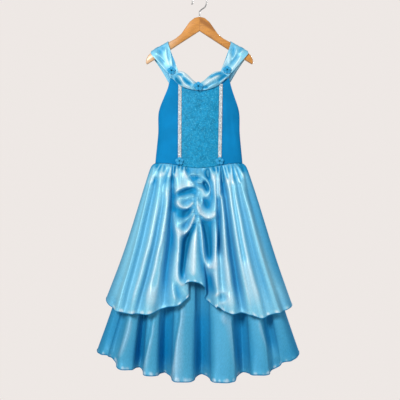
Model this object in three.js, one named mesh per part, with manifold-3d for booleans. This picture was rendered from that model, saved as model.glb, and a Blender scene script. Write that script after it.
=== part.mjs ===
// A child's princess costume dress, hanging on a wooden clothes hanger.
// Stretch bodice with a glitter centre panel and braid trims, draped satin neckline and shoulder straps,
// a gathered satin overskirt ruched up at the centre front, and a longer satin underskirt.
// Millimetres, +Z up. The front faces -Y, and the origin is inside the top of the hanger's hook.

import * as THREE from "three";
import { mergeVertices } from "three/addons/utils/BufferGeometryUtils.js";
import Module from "manifold-3d";

const wasm = await Module();
wasm.setup();

// Thickness of each cloth, and the gap that neighbouring pieces keep
const SATIN = 1.5;
const JERSEY = 1.6;
const BRAID = 1.2;
const GAP = 0.4;

// Heights below the hook's seat
const ARMPIT_Z = -352;
const SHOULDER_CORNER_Z = -249;
const BACK_CORNER_Z = -262;
const NECK_Z = -279;
const BACK_NECK_Z = -286;
const WAIST_SIDE_Z = -503;
const WAIST_HALF = 132;
const WAIST_DIP = 15;
const WAIST_BACK_DIP = 6;
const CENTRE_X = -3;

// The neck's edges rise from the centre to this height at this far across
const FRONT_NECK = { rise: 34, across: 87, power: 2.2 };
const BACK_NECK = { rise: 24, across: 92, power: 2 };

// The bodice's section is a rounded oblong of this power, opened out above the armpits by this share.
const SECTION_POWER = 2.6;
const ARMHOLE_OPENING = 0.22;

// How far from the centre line the bodice's princess seams run, at the neck and at the waist
const PRINCESS = { leftNeck: -58, leftWaist: -59, rightNeck: 64, rightWaist: 60 };
const TRIM_WIDTH = 9;
const TRIM_TOP_Z = -268;
const TRIM_END_Z = -491;

// The hanger's wooden bar and its wire hook
const BAR_HALF_SPAN = 160;
const BAR_THICK = 14;
const BAR_EDGE = 3;
const BAR_BEND = 8;
const WIRE = 3.4;
const HOOK_RADIUS = 19.5 + WIRE / 2;
const STEM_DEPTH = 16;
const STEM_CLEARANCE = 0.4;

const COLOURS = {
  satin: new THREE.MeshStandardMaterial({ color: "#7cc4e6", roughness: 0.3, metalness: 0.1 }),
  underSatin: new THREE.MeshStandardMaterial({ color: "#4fa3cf", roughness: 0.38, metalness: 0.1 }),
  jersey: new THREE.MeshStandardMaterial({ color: "#1c86c8", roughness: 0.75, metalness: 0 }),
  glitter: new THREE.MeshStandardMaterial({ color: "#128fc0", roughness: 0.45, metalness: 0.35 }),
  braid: new THREE.MeshStandardMaterial({ color: "#c4c8cc", roughness: 0.35, metalness: 0.7 }),
  rose: new THREE.MeshStandardMaterial({ color: "#239ad2", roughness: 0.4, metalness: 0.1 }),
  wood: new THREE.MeshStandardMaterial({ color: "#cf8f48", roughness: 0.45, metalness: 0 }),
  wire: new THREE.MeshStandardMaterial({ color: "#b9babb", roughness: 0.25, metalness: 0.9 }),
};

// Rows of plain values become objects with named columns.
function table(columns, ...rows) {
  return rows.map((row) => Object.fromEntries(columns.map((column, i) => [column, row[i]])));
}

// Bodice sections from the shoulder points down: half widths of the outline, and how far the cloth
// stands out from the hanger's plane at the front and at the back.
const BODICE = table(
  ["z", "left", "right", "front", "back"],
  [-215, 84, 86, 18, 13],
  [-247, 90, 91, 19, 14],
  [-283, 97, 98, 22, 15],
  [-307, 107, 106, 24, 17],
  [-331, 117.6, 115, 26, 19],
  [-417, 124, 121, 29, 22],
  [-503, 132.6, 129, 27, 22],
  [-520, 134, 130.5, 27, 22],
);

// Edge of the front armholes, which is cut deeper than the back's
const FRONT_ARMHOLE = table(
  ["z", "left", "right"],
  [-247, 86, 87],
  [-283, 94, 95],
  [-307, 101.5, 101],
  [-331, 111, 109],
  [-352, 119.2, 116.5],
);

// Overskirt front folds from left to right: place across at the waist, half way down and at the hem, how far
// the cloth stands out half way and at the hem, the height of the hem, and the columns up to the next fold.
const OVERSKIRT_FRONT = table(
  ["fold", "waist", "middle", "hem", "middleOut", "hemOut", "hemZ", "steps"],
  ["left seam", -134, -203, -279, 0, 0, -912, 3],
  ["left edge hollow", -130, -189, -260, 32, 46, -934, 2],
  ["left edge ridge", -125, -177, -238, 52, 84, -939, 2],
  ["left outer hollow", -117, -160, -220, 46, 73, -941, 2],
  ["left outer ridge", -108, -142, -197, 66, 93, -942, 2],
  ["left inner hollow", -98, -127, -183, 54, 76, -943, 2],
  ["left inner ridge", -87, -112, -152, 70, 97, -943, 2],
  ["left deep hollow", -77, -86, -109, 42, 67, -929, 2],
  ["ruching left ridge", -66, -61, -71, 62, 88, -914, 4],
  ["left pull", -36, -38, -44, 44, 67, -894, 4],
  ["centre flute", -8, -16, -11, 64, 86, -850, 4],
  ["right pull", 14, 25, 23, 46, 68, -892, 4],
  ["ruching right ridge", 44, 46, 51, 62, 88, -921, 2],
  ["right pull hollow", 52, 57, 71, 42, 76, -936, 2],
  ["right inner ridge", 58, 73, 97, 67, 94, -942, 2],
  ["right deep hollow", 66, 89, 124, 43, 67, -941, 2],
  ["right second ridge", 81, 109, 151, 69, 93, -945, 2],
  ["right small hollow", 88, 115, 163, 61, 84, -951, 2],
  ["right third ridge", 95, 127, 181, 68, 95, -954, 2],
  ["right outer hollow", 104, 144, 204, 51, 73, -947, 2],
  ["right outer ridge", 115, 160, 230, 56, 85, -940, 2],
  ["right edge hollow", 125, 180, 252, 33, 46, -937, 3],
  ["right seam", 130, 203, 277, 0, 0, -924, 0],
);

// Underskirt front flutes from left to right, in the same way
const UNDERSKIRT_FRONT = table(
  ["fold", "waist", "middle", "hem", "middleOut", "hemOut", "hemZ", "steps"],
  ["left seam", -131.2, -236, -306, 0, 0, -1064, 3],
  ["left side flute", -122, -219, -283, 36, 54, -1078, 2],
  ["left side hollow", -110, -204, -258, 26, 36, -1085, 3],
  ["second flute", -96, -184, -214, 50, 92, -1103, 3],
  ["second hollow", -82, -158, -176, 25, 34, -1106, 3],
  ["third flute", -62, -134, -143, 54, 102, -1118, 3],
  ["third hollow", -44, -98, -102, 25, 34, -1122, 3],
  ["fourth flute", -20, -38, -46, 55, 110, -1134, 3],
  ["fourth hollow", 4, 5, 7, 24, 34, -1126, 3],
  ["fifth flute", 32, 66, 70, 56, 112, -1136, 3],
  ["fifth hollow", 60, 118, 128, 25, 34, -1120, 3],
  ["sixth flute", 84, 160, 177, 52, 100, -1117, 3],
  ["sixth hollow", 104, 190, 221, 26, 36, -1108, 3],
  ["right side flute", 117, 211, 266, 40, 62, -1085, 3],
  ["right seam", 127.6, 230, 298, 0, 0, -1066, 0],
);

// The ruching at the centre front: ridges and hollows that curl away from the gathered line,
// each through points [across, height], with its half width and how far it rises or sinks.
const RUCHING = table(
  ["crease", "points", "width", "rise"],
  ["gathered line", [[-11, -540], [-13, -600], [-12, -688]], 7, -11],
  ["lip of the upper left bulge", [[-72, -590], [-42, -571], [-14, -571]], 9, 10],
  ["hollow under that lip", [[-60, -596], [-40, -589], [-18, -586]], 8, -9],
  ["left oval puff", [[-64, -613], [-45, -630], [-22, -613]], 11, 12],
  ["hollow under the puff", [[-66, -650], [-44, -648], [-20, -638]], 8, -8],
  ["left upper swag", [[-20, -648], [-38, -673], [-68, -688]], 8, 8],
  ["left lower swag", [[-15, -652], [-28, -690], [-54, -712]], 8, 9],
  ["top right curl", [[-30, -546], [-2, -538], [28, -572]], 9, 9],
  ["hollow inside the curl", [[2, -562], [14, -566], [20, -580]], 8, -8],
  ["right upper puff", [[-4, -573], [14, -601], [33, -582]], 8, 8],
  ["right narrow fold", [[-6, -580], [8, -604], [1, -634]], 7, 6],
  ["right lower swag", [[-9, -612], [10, -655], [34, -667], [50, -638]], 9, 11],
  ["hollow inside the swag", [[20, -618], [27, -646]], 10, -8],
  ["left long loop", [[-60, -700], [-62, -820], [-54, -862], [-44, -820]], 7, 7],
  ["right long loop", [[10, -700], [17, -780], [30, -812], [42, -776]], 7, 7],
);

// A value part of the way down a table that has a z column.
function atHeight(rows, z, column) {
  const below = rows.findIndex((row) => row.z <= z);
  if (below === 0) return rows[0][column];
  if (below === -1) return rows.at(-1)[column];
  const [upper, lower] = [rows[below - 1], rows[below]];
  return THREE.MathUtils.mapLinear(z, upper.z, lower.z, upper[column], lower[column]);
}

// The smooth curve through a value at the start, one at a share of the way, and one at the end.
function through(t, share, start, middle, end) {
  return (
    (start * (t - share) * (t - 1)) / share +
    (middle * t * (1 - t)) / (share * (1 - share)) +
    (end * t * (t - share)) / (1 - share)
  );
}

// A closed cloth wall behind its outer face. Rows run down the cloth, and columns from left to right as seen
// from outside. Where square(row, column) holds, the edge is cut square to the side seam's plane.
function wall(rows, thickness, square = () => false) {
  const [height, width] = [rows.length, rows[0].length];
  const inner = rows.map((row, r) =>
    row.map((point, c) => {
      const down = rows[Math.min(r + 1, height - 1)][c].clone().sub(rows[Math.max(r - 1, 0)][c]);
      const across = row[Math.min(c + 1, width - 1)].clone().sub(row[Math.max(c - 1, 0)]);
      const normal = down.cross(across);
      if (square(r, c)) normal.set(Math.sign(normal.x), 0, 0);
      return point.clone().addScaledVector(normal.normalize(), -thickness);
    }),
  );
  const points = [...rows.flat(), ...inner.flat()];
  const index = [];
  const quad = (a, b, c, d) => index.push(a, b, c, a, c, d);
  const outside = (r, c) => r * width + c;
  const inside = (r, c) => height * width + r * width + c;
  for (let r = 0; r + 1 < height; r++) {
    for (let c = 0; c + 1 < width; c++) {
      quad(outside(r, c), outside(r + 1, c), outside(r + 1, c + 1), outside(r, c + 1));
      quad(inside(r, c), inside(r, c + 1), inside(r + 1, c + 1), inside(r + 1, c));
    }
    quad(outside(r, 0), inside(r, 0), inside(r + 1, 0), outside(r + 1, 0));
    quad(outside(r, width - 1), outside(r + 1, width - 1), inside(r + 1, width - 1), inside(r, width - 1));
  }
  for (let c = 0; c + 1 < width; c++) {
    quad(outside(0, c), outside(0, c + 1), inside(0, c + 1), inside(0, c));
    quad(outside(height - 1, c), inside(height - 1, c), inside(height - 1, c + 1), outside(height - 1, c + 1));
  }
  return solidGeometry(points, index);
}

function solidGeometry(points, index) {
  const geometry = new THREE.BufferGeometry().setFromPoints(points);
  geometry.setIndex(index);
  geometry.computeVertexNormals();
  return geometry;
}

// The waist seam dips at the centre front, and a little at the back.
function waistZ(x, dip = WAIST_DIP) {
  return WAIST_SIDE_Z - dip * Math.max(0, 1 - (x / WAIST_HALF) ** 2) ** 3;
}

// How far the bodice stands out from the hanger's plane. Above the armpits the section is opened out,
// so that the armhole edges of front and back stay apart.
function bodiceOut(x, z, face = "front") {
  const opening = ARMHOLE_OPENING * THREE.MathUtils.smoothstep(z, ARMPIT_Z, SHOULDER_CORNER_Z);
  const reach = atHeight(BODICE, z, x < 0 ? "left" : "right") * (1 + opening);
  const share = Math.min(1, Math.abs(x) / reach);
  return atHeight(BODICE, z, face) * (1 - share ** SECTION_POWER) ** (1 / SECTION_POWER);
}

function bodicePoint(x, z, face = "front") {
  const out = bodiceOut(x, z, face) + GAP / 2;
  return new THREE.Vector3(x, face === "front" ? -out : out, z);
}

function neckZ(x, centreZ = NECK_Z, { rise, across, power } = FRONT_NECK) {
  return centreZ + rise * (Math.abs(x) / across) ** power;
}

const grids = {};

function bodiceCentre() {
  const [rows, columns] = [10, 8];
  grids.centre = Array.from({ length: rows + 1 }, (_, r) => {
    const t = r / rows;
    const left = THREE.MathUtils.lerp(PRINCESS.leftNeck, PRINCESS.leftWaist, t) + GAP / 2;
    const right = THREE.MathUtils.lerp(PRINCESS.rightNeck, PRINCESS.rightWaist, t) - GAP / 2;
    return Array.from({ length: columns + 1 }, (_, c) => {
      const x = THREE.MathUtils.lerp(left, right, c / columns);
      return bodicePoint(x, THREE.MathUtils.lerp(neckZ(x), waistZ(x) + GAP / 2, t));
    });
  });
  return wall(grids.centre, JERSEY);
}

// A side panel runs from its princess seam to the armhole and side seam. side is -1 on the left, 1 on the right.
function bodiceSide(side) {
  const [rows, columns] = [10, 6];
  const name = side < 0 ? "left" : "right";
  const grid = Array.from({ length: rows + 1 }, (_, r) => {
    const t = r / rows;
    const seam = THREE.MathUtils.lerp(PRINCESS[`${name}Neck`], PRINCESS[`${name}Waist`], t) + (side * GAP) / 2;
    const outerZ = THREE.MathUtils.lerp(SHOULDER_CORNER_Z, WAIST_SIDE_Z + GAP / 2, t);
    const outer = side * atHeight(outerZ > ARMPIT_Z ? FRONT_ARMHOLE : BODICE, outerZ, name);
    const line = Array.from({ length: columns + 1 }, (_, c) => {
      const share = Math.sin((c / columns) * (Math.PI / 2));
      const x = THREE.MathUtils.lerp(seam, outer, share);
      const top = THREE.MathUtils.lerp(neckZ(seam), SHOULDER_CORNER_Z, share);
      return bodicePoint(x, THREE.MathUtils.lerp(top, waistZ(x) + GAP / 2, t));
    });
    return side < 0 ? line.reverse() : line;
  });
  grids[`${name}Side`] = grid;
  const edge = side < 0 ? 0 : columns;
  return wall(grid, JERSEY, (r, c) => c === edge && grid[r][c].z < ARMPIT_Z + 1);
}

function bodiceBack() {
  const [rows, columns] = [9, 16];
  grids.back = Array.from({ length: rows + 1 }, (_, r) => {
    const t = r / rows;
    return Array.from({ length: columns + 1 }, (_, c) => {
      const share = Math.cos((c / columns) * Math.PI);
      const name = share < 0 ? "left" : "right";
      const edgeZ = THREE.MathUtils.lerp(BACK_CORNER_Z, WAIST_SIDE_Z + GAP / 2, t);
      const x = share * atHeight(BODICE, edgeZ, name);
      const z = THREE.MathUtils.lerp(neckZ(x, BACK_NECK_Z, BACK_NECK), waistZ(x, WAIST_BACK_DIP) + GAP / 2, t);
      return bodicePoint(x, z, "back");
    });
  });
  const last = columns;
  return wall(grids.back, JERSEY, (r, c) => (c === 0 || c === last) && grids.back[r][c].z < ARMPIT_Z + 1);
}

// How far the ruching lifts or sinks the overskirt at a place across and down the front.
const creases = RUCHING.map(({ points, width, rise }) => {
  const curve = new THREE.SplineCurve(points.map(([x, z]) => new THREE.Vector2(x, z)));
  return { line: curve.getPoints(24), width, rise };
});

function ruchingOut(x, z) {
  const place = new THREE.Vector2(x, z);
  return creases.reduce((sum, { line, width, rise }) => {
    const distance = Math.min(...line.map((point) => point.distanceTo(place)));
    return sum + rise * Math.exp(-((distance / width) ** 2));
  }, 0);
}

// A skirt panel hung from the waist through the rows of a fold table. Between a ridge and a hollow the cloth
// follows a half wave: fullness below 1 makes the ridges round and broad, and sway above 0 steepens their sides.
// The first and last folds are side seams, where the cloth turns round towards the other panel.
// tuck draws the upper part in, for a skirt that hangs under another.
function skirtPanel(folds, { shares, middle, fullness, sway, tuck, waistOut, dip, face, relief }) {
  const last = folds.length - 2;
  const rows = shares.map((t) => {
    const line = folds.map((fold) => ({
      x: through(t, middle, fold.waist, fold.middle, fold.hem),
      out: through(t, middle, waistOut(fold.waist), fold.middleOut, fold.hemOut),
      hemZ: fold.hemZ,
    }));
    const row = [];
    folds.slice(0, -1).forEach(({ steps }, i) => {
      const [from, to] = [line[i], line[i + 1]];
      for (let step = 0; step < steps + (i === last ? 1 : 0); step++) {
        const share = step / steps;
        let { x, out } = from;
        let hemZ = THREE.MathUtils.lerp(from.hemZ, to.hemZ, share);
        if (i === 0 || i === last) {
          const [seam, next, turn] = i === 0 ? [from, to, share] : [to, from, 1 - share];
          x = seam.x + (next.x - seam.x) * (1 - Math.cos((turn * Math.PI) / 2));
          out = next.out * Math.sin((turn * Math.PI) / 2);
        } else {
          const [ridge, hollow, away] = from.out >= to.out ? [from, to, share] : [to, from, 1 - share];
          const lift = ((1 + Math.cos(Math.PI * away)) / 2) ** fullness;
          out = hollow.out + (ridge.out - hollow.out) * lift;
          x = ridge.x + (hollow.x - ridge.x) * (away + (sway * Math.sin(2 * Math.PI * away)) / (2 * Math.PI));
          hemZ = THREE.MathUtils.lerp(ridge.hemZ, hollow.hemZ, away ** 2);
        }
        const z = THREE.MathUtils.lerp(waistZ(x, dip) - GAP / 2, hemZ, t);
        out *= 1 - tuck * Math.sin(Math.PI * Math.min(1, t / 0.6));
        out += relief(x, z, t, row.length) + GAP / 2;
        row.push(new THREE.Vector3(x, face === "front" ? -out : out, z));
      }
    });
    return row;
  });
  const width = rows[0].length;
  for (const row of rows) {
    for (const end of [row[0], row[width - 1]]) end.y = (face === "front" ? -1 : 1) * (GAP / 2);
  }
  return rows;
}

// Small gathers at the waist: every second column stands out, and they fade out downwards.
function gathers(t, column, height, fade) {
  return column % 2 ? height * Math.max(0, 1 - t / fade) ** 2 : 0;
}

function sideSquare(grid) {
  return (r, c) => c === 0 || c === grid[0].length - 1;
}

// Rows are close together down the ruching and further apart below it.
function rowShares(upper, lower, split) {
  const top = Array.from({ length: upper }, (_, i) => (i / upper) * split);
  return [...top, ...Array.from({ length: lower + 1 }, (_, i) => split + ((1 - split) * i) / lower)];
}

function overskirtFront() {
  const grid = skirtPanel(OVERSKIRT_FRONT, {
    shares: rowShares(18, 8, 0.52),
    middle: 0.5,
    fullness: 1.15,
    sway: 0.25,
    tuck: 0,
    waistOut: (x) => bodiceOut(x, WAIST_SIDE_Z),
    dip: WAIST_DIP,
    face: "front",
    relief: (x, z, t, column) => ruchingOut(x, z) * Math.min(1, t / 0.1) + gathers(t, column, 2.4, 0.22),
  });
  grids.overskirtFront = grid;
  return wall(grid, SATIN, sideSquare(grid));
}

function underskirtFront() {
  const grid = skirtPanel(UNDERSKIRT_FRONT, {
    shares: rowShares(6, 5, 0.62),
    middle: 0.64,
    fullness: 0.7,
    sway: 0.9,
    tuck: 0.35,
    waistOut: (x) => Math.max(0, bodiceOut(1.05 * x, WAIST_SIDE_Z) - SATIN - 2 * GAP),
    dip: WAIST_DIP,
    face: "front",
    relief: () => 0,
  });
  return wall(grid, SATIN, sideSquare(grid));
}

// The hidden back of a skirt: even folds between the side seams of the front panel, from right to left.
function backFolds(front, { ridges, middleOut, hemOut, depth, hemZ, steps }) {
  const [left, right] = [front[0], front.at(-1)];
  const count = 2 * ridges + 1;
  const rows = Array.from({ length: count }, (_, i) => {
    const even = (i + 1) / (count + 1);
    const share = even + 0.012 * Math.sin(2.4 * i);
    const round = Math.sqrt(1 - (2 * even - 1) ** 2);
    const sink = i % 2 ? 0 : 1;
    const drop = Math.sin(Math.PI * even);
    return {
      fold: sink ? `back hollow ${i}` : `back ridge ${i}`,
      waist: THREE.MathUtils.lerp(right.waist, left.waist, share),
      middle: THREE.MathUtils.lerp(right.middle, left.middle, share),
      hem: THREE.MathUtils.lerp(right.hem, left.hem, share),
      middleOut: middleOut * round ** 0.6 - sink * depth * 0.6,
      hemOut: hemOut * round ** 0.4 - sink * depth,
      hemZ: THREE.MathUtils.lerp(THREE.MathUtils.lerp(right.hemZ, left.hemZ, even), hemZ, drop ** 0.6),
      steps,
    };
  });
  return [{ ...right, steps: 2 }, ...rows, { ...left, steps: 0 }].map((row, i) =>
    i === count ? { ...row, steps: 2 } : row,
  );
}

function overskirtBack() {
  const folds = backFolds(OVERSKIRT_FRONT, {
    ridges: 8,
    middleOut: 42,
    hemOut: 54,
    depth: 10,
    hemZ: -943,
    steps: 2,
  });
  const grid = skirtPanel(folds, {
    shares: rowShares(5, 5, 0.4),
    middle: 0.5,
    fullness: 1,
    sway: 0.2,
    tuck: 0,
    waistOut: (x) => bodiceOut(x, WAIST_SIDE_Z, "back"),
    dip: WAIST_BACK_DIP,
    face: "back",
    relief: (x, z, t, column) => gathers(t, column, 2.4, 0.2),
  });
  return wall(grid, SATIN, sideSquare(grid));
}

function underskirtBack() {
  const folds = backFolds(UNDERSKIRT_FRONT, {
    ridges: 6,
    middleOut: 35,
    hemOut: 56,
    depth: 24,
    hemZ: -1128,
    steps: 2,
  });
  const grid = skirtPanel(folds, {
    shares: rowShares(4, 4, 0.6),
    middle: 0.64,
    fullness: 0.8,
    sway: 0.6,
    tuck: 0.35,
    waistOut: (x) => Math.max(0, bodiceOut(1.05 * x, WAIST_SIDE_Z, "back") - SATIN - 2 * GAP),
    dip: WAIST_BACK_DIP,
    face: "back",
    relief: () => 0,
  });
  return wall(grid, SATIN, sideSquare(grid));
}

// Half outline of the hanger's bar from the top centre round to the notch under the centre
const BAR_OUTLINE = table(
  ["x", "z"],
  [0, -64],
  [15, -67.5],
  [30, -80],
  [41, -96],
  [55, -116],
  [71, -129.5],
  [95, -143],
  [119, -157],
  [143, -171.5],
  [153, -181],
  [159, -193],
  [BAR_HALF_SPAN, -203],
  [157, -207.5],
  [132, -192],
  [88, -164],
  [44, -134.5],
  [0, -106],
);

function barBend(x) {
  return -BAR_BEND * (Math.abs(x) / BAR_HALF_SPAN) ** 1.5;
}

// Height of the bar's upper edge
function barTopZ(x) {
  const rows = BAR_OUTLINE.slice(0, 12);
  const next = rows.findIndex((row) => row.x >= Math.abs(x));
  const [near, far] = [rows[Math.max(0, next - 1)], rows[next]];
  return THREE.MathUtils.mapLinear(Math.abs(x), near.x, far.x, near.z, far.z);
}

function solidOf(geometry) {
  const bare = new THREE.BufferGeometry().setAttribute("position", geometry.getAttribute("position"));
  if (geometry.index) bare.setIndex(geometry.index);
  const merged = mergeVertices(bare, 1e-3);
  const mesh = { numProp: 3, vertProperties: merged.attributes.position.array, triVerts: merged.index.array };
  return new wasm.Manifold(new wasm.Mesh(mesh));
}

function geometryOf(solid) {
  const { vertProperties, triVerts } = solid.getMesh();
  const geometry = new THREE.BufferGeometry().setAttribute("position", new THREE.BufferAttribute(vertProperties, 3));
  geometry.setIndex([...triVerts]);
  geometry.computeVertexNormals();
  return geometry;
}

function hangerBar() {
  const right = BAR_OUTLINE.map(({ x, z }) => new THREE.Vector2(x, z));
  const left = BAR_OUTLINE.slice(1, -1).map(({ x, z }) => new THREE.Vector2(-x, z));
  const flat = new THREE.Shape([...right, ...left.reverse()]);
  const geometry = new THREE.ExtrudeGeometry(flat, {
    depth: BAR_THICK - 2 * BAR_EDGE,
    bevelEnabled: true,
    bevelThickness: BAR_EDGE,
    bevelSize: BAR_EDGE,
    bevelOffset: -BAR_EDGE,
    bevelSegments: 2,
  });
  geometry.translate(0, 0, -(BAR_THICK - 2 * BAR_EDGE) / 2);
  geometry.rotateX(Math.PI / 2);
  const position = geometry.getAttribute("position");
  for (let i = 0; i < position.count; i++) position.setY(i, position.getY(i) + barBend(position.getX(i)));
  const bore = new THREE.CylinderGeometry(WIRE / 2 + STEM_CLEARANCE, WIRE / 2 + STEM_CLEARANCE, 2 * STEM_DEPTH, 12);
  bore.rotateX(Math.PI / 2).translate(0, 0, BAR_OUTLINE[0].z);
  return geometryOf(solidOf(geometry).subtract(solidOf(bore)));
}

// The wire rises from the bar, leans out to the right and runs over in an open circle to a tip that turns outwards.
function hookLine() {
  const centreZ = -HOOK_RADIUS + WIRE / 2;
  const points = [
    [0, BAR_OUTLINE[0].z - STEM_DEPTH + 1],
    [0, -62],
    [0.4, -48],
    [7, -41],
    [16, -34.5],
  ].map(([x, z]) => new THREE.Vector3(x, 0, z));
  for (let degrees = -12; degrees <= 192; degrees += 17) {
    const angle = THREE.MathUtils.degToRad(degrees);
    points.push(new THREE.Vector3(HOOK_RADIUS * Math.cos(angle), 0, centreZ + HOOK_RADIUS * Math.sin(angle)));
  }
  points.push(new THREE.Vector3(-24.5, 0, -25.5));
  return new THREE.CatmullRomCurve3(points);
}

function hangerHook() {
  const section = new THREE.Shape(
    Array.from({ length: 8 }, (_, i) => {
      const angle = (i * Math.PI) / 4;
      return new THREE.Vector2((WIRE / 2) * Math.cos(angle), (WIRE / 2) * Math.sin(angle));
    }),
  );
  return new THREE.ExtrudeGeometry(section, { steps: 34, bevelEnabled: false, extrudePath: hookLine() });
}

// A shoulder strap hangs over the bar. Its folds narrow towards the rosette in front, and its back end
// meets the top of the back panel. Rows run from the back end over the bar to the front end.
const STRAP_PLACES = table(
  ["place", "innerX", "innerZ", "outerX", "outerZ", "y"],
  ["back end", 62, -274, 91, -262, 12],
  ["back middle", 78, -212, 118, -217, 12],
  ["back of the bar", 93, -150, 144, -180, 10.5],
  ["top of the bar behind", 93, -140, 144, -169.8, 6.6],
  ["top of the bar", 93, -138.8, 144, -168.8, 0],
  ["top of the bar in front", 93, -140, 144, -169.8, -6.6],
  ["front of the bar", 92, -150, 143, -180, -10.5],
  ["front middle", 78, -190, 116, -211, -15],
  ["front end", 63, -229.2, 86.5, -244.6, -20],
);

function strap(side) {
  const columns = 6;
  const curve = (x, z) =>
    new THREE.CatmullRomCurve3(
      STRAP_PLACES.map((place) => new THREE.Vector3(side * place[x], place.y, place[z])),
      false,
      "centripetal",
    );
  const [inner, outer] = [curve("innerX", "innerZ"), curve("outerX", "outerZ")];
  const shares = [0, 0.13, 0.25, 0.31, 0.375, 0.4375, 0.5, 0.5625, 0.625, 0.69, 0.75, 0.83, 0.92, 1];
  const grid = shares.map((t) => {
    const [from, to] = [outer.getPoint(t), inner.getPoint(t)];
    const onBar = 1 - THREE.MathUtils.smoothstep(Math.abs(t - 0.5), 0.26, 0.45);
    const line = Array.from({ length: columns + 1 }, (_, c) => {
      const share = c / columns;
      const point = from.clone().lerp(to, share);
      const pleat = 1.6 * Math.sin(Math.PI * 3 * share) ** 2 * (1 - onBar);
      point.y += (t < 0.5 ? 1 : -1) * pleat + onBar * barBend(point.x);
      return point;
    });
    return side < 0 ? line : line.reverse();
  });
  grids[side < 0 ? "leftStrap" : "rightStrap"] = grid;
  return wall(grid, SATIN);
}

// Half of the neckline swag, from a shoulder rosette down to the centre rosette
const SWAG_EDGES = table(
  ["share", "upperX", "upperZ", "lowerX", "lowerZ", "puff"],
  [0, 63, -229.8, 85.5, -245.4, 5],
  [0.2, 51, -231.5, 73, -259, 10],
  [0.4, 40, -237, 57, -272.5, 13],
  [0.6, 29, -246, 41, -280.5, 13],
  [0.8, 17, -257.5, 23, -286, 10],
  [1, 2.3, -267, 2.3, -289, 4],
);

function swag(side) {
  const [rows, columns] = [7, 14];
  const edge = (x, z) => new THREE.SplineCurve(SWAG_EDGES.map((row) => new THREE.Vector2(row[x], row[z])));
  const [upper, lower] = [edge("upperX", "upperZ"), edge("lowerX", "lowerZ")];
  const puffs = new THREE.SplineCurve(SWAG_EDGES.map((row) => new THREE.Vector2(row.share, row.puff)));
  const grid = Array.from({ length: rows + 1 }, (_, r) => {
    const down = r / rows;
    const line = Array.from({ length: columns + 1 }, (_, c) => {
      const share = c / columns;
      const place = upper.getPoint(share).lerp(lower.getPoint(share), down);
      const x = side * (place.x - GAP / 2) + (CENTRE_X + GAP / 2 + side * 0.15) * share;
      const roll = puffs.getPoint(share).y * Math.sin(Math.PI * Math.min(1, 0.12 + 0.88 * down)) ** 0.8;
      const fold = 2 * Math.sin(3 * Math.PI * down + 1.5 * share) * Math.sin(Math.PI * share);
      const out = bodiceOut(x, place.y) + SATIN + BRAID + 3 * GAP + roll + Math.max(0, fold);
      return new THREE.Vector3(x, -out, place.y);
    });
    return side < 0 ? line : line.reverse();
  });
  grids[side < 0 ? "leftSwag" : "rightSwag"] = grid;
  return wall(grid, SATIN);
}

// How far out the cloth reaches under the flat back of a round ornament. Each cell of a grid is sampled in steps.
function frontmost(names, x, z, radius) {
  const steps = 5;
  let reach = 0;
  for (const grid of names.map((name) => grids[name])) {
    for (let r = 0; r + 1 < grid.length; r++) {
      for (let c = 0; c + 1 < grid[0].length; c++) {
        for (let i = 0; i <= steps; i++) {
          for (let j = 0; j <= steps; j++) {
            const upper = grid[r][c].clone().lerp(grid[r][c + 1], i / steps);
            const lower = grid[r + 1][c].clone().lerp(grid[r + 1][c + 1], i / steps);
            const point = upper.lerp(lower, j / steps);
            if (Math.hypot(point.x - x, point.z - z) <= radius) reach = Math.max(reach, -point.y);
          }
        }
      }
    }
  }
  return reach;
}

// A braid trim lies along a princess seam, lifted off the panels beside it.
function trim(side) {
  const rows = 10;
  const name = side < 0 ? "left" : "right";
  const grid = Array.from({ length: rows + 1 }, (_, r) => {
    const t = r / rows;
    const z = THREE.MathUtils.lerp(TRIM_TOP_Z, TRIM_END_Z, t);
    const x = THREE.MathUtils.lerp(PRINCESS[`${name}Neck`], PRINCESS[`${name}Waist`], t);
    return [-1, 0, 1].map((edge) => {
      const across = x + (edge * TRIM_WIDTH) / 2;
      return new THREE.Vector3(across, -(bodiceOut(across, z) + 2 * GAP + BRAID + 0.15), z);
    });
  });
  grids[`${name}Trim`] = grid;
  return wall(grid, BRAID);
}

// Rings of a ribbon rosette from its flat back to its bud: shares of its radius and of its depth, and the
// height and turn of its petals
const ROSETTE_RINGS = table(
  ["radius", "depth", "petal", "turn"],
  [0.7, 0, 0.06, 0],
  [1, 0.3, 0.14, 0],
  [0.82, 0.62, 0.12, 0.3],
  [0.56, 0.58, 0.1, 0.9],
  [0.46, 0.96, 0.12, 1.3],
  [0.18, 0.78, 0, 0],
);

const ROSETTES = table(
  ["name", "x", "z", "radius", "depth", "tail", "under"],
  ["rosette_left_shoulder", -82.8, -229, 10.5, 9, 2, ["leftStrap", "leftSwag"]],
  ["rosette_right_shoulder", 82.5, -227, 10.5, 9, 1.2, ["rightStrap", "rightSwag"]],
  ["rosette_centre_neck", CENTRE_X, -277, 12, 10, 0, ["leftSwag", "rightSwag"]],
  ["rosette_left_waist", -59, -498, 10.5, 8, 0, ["centre", "leftSide", "leftTrim", "overskirtFront"]],
  ["rosette_right_waist", 60, -498, 10.5, 8, 0, ["centre", "rightSide", "rightTrim", "overskirtFront"]],
);

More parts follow.
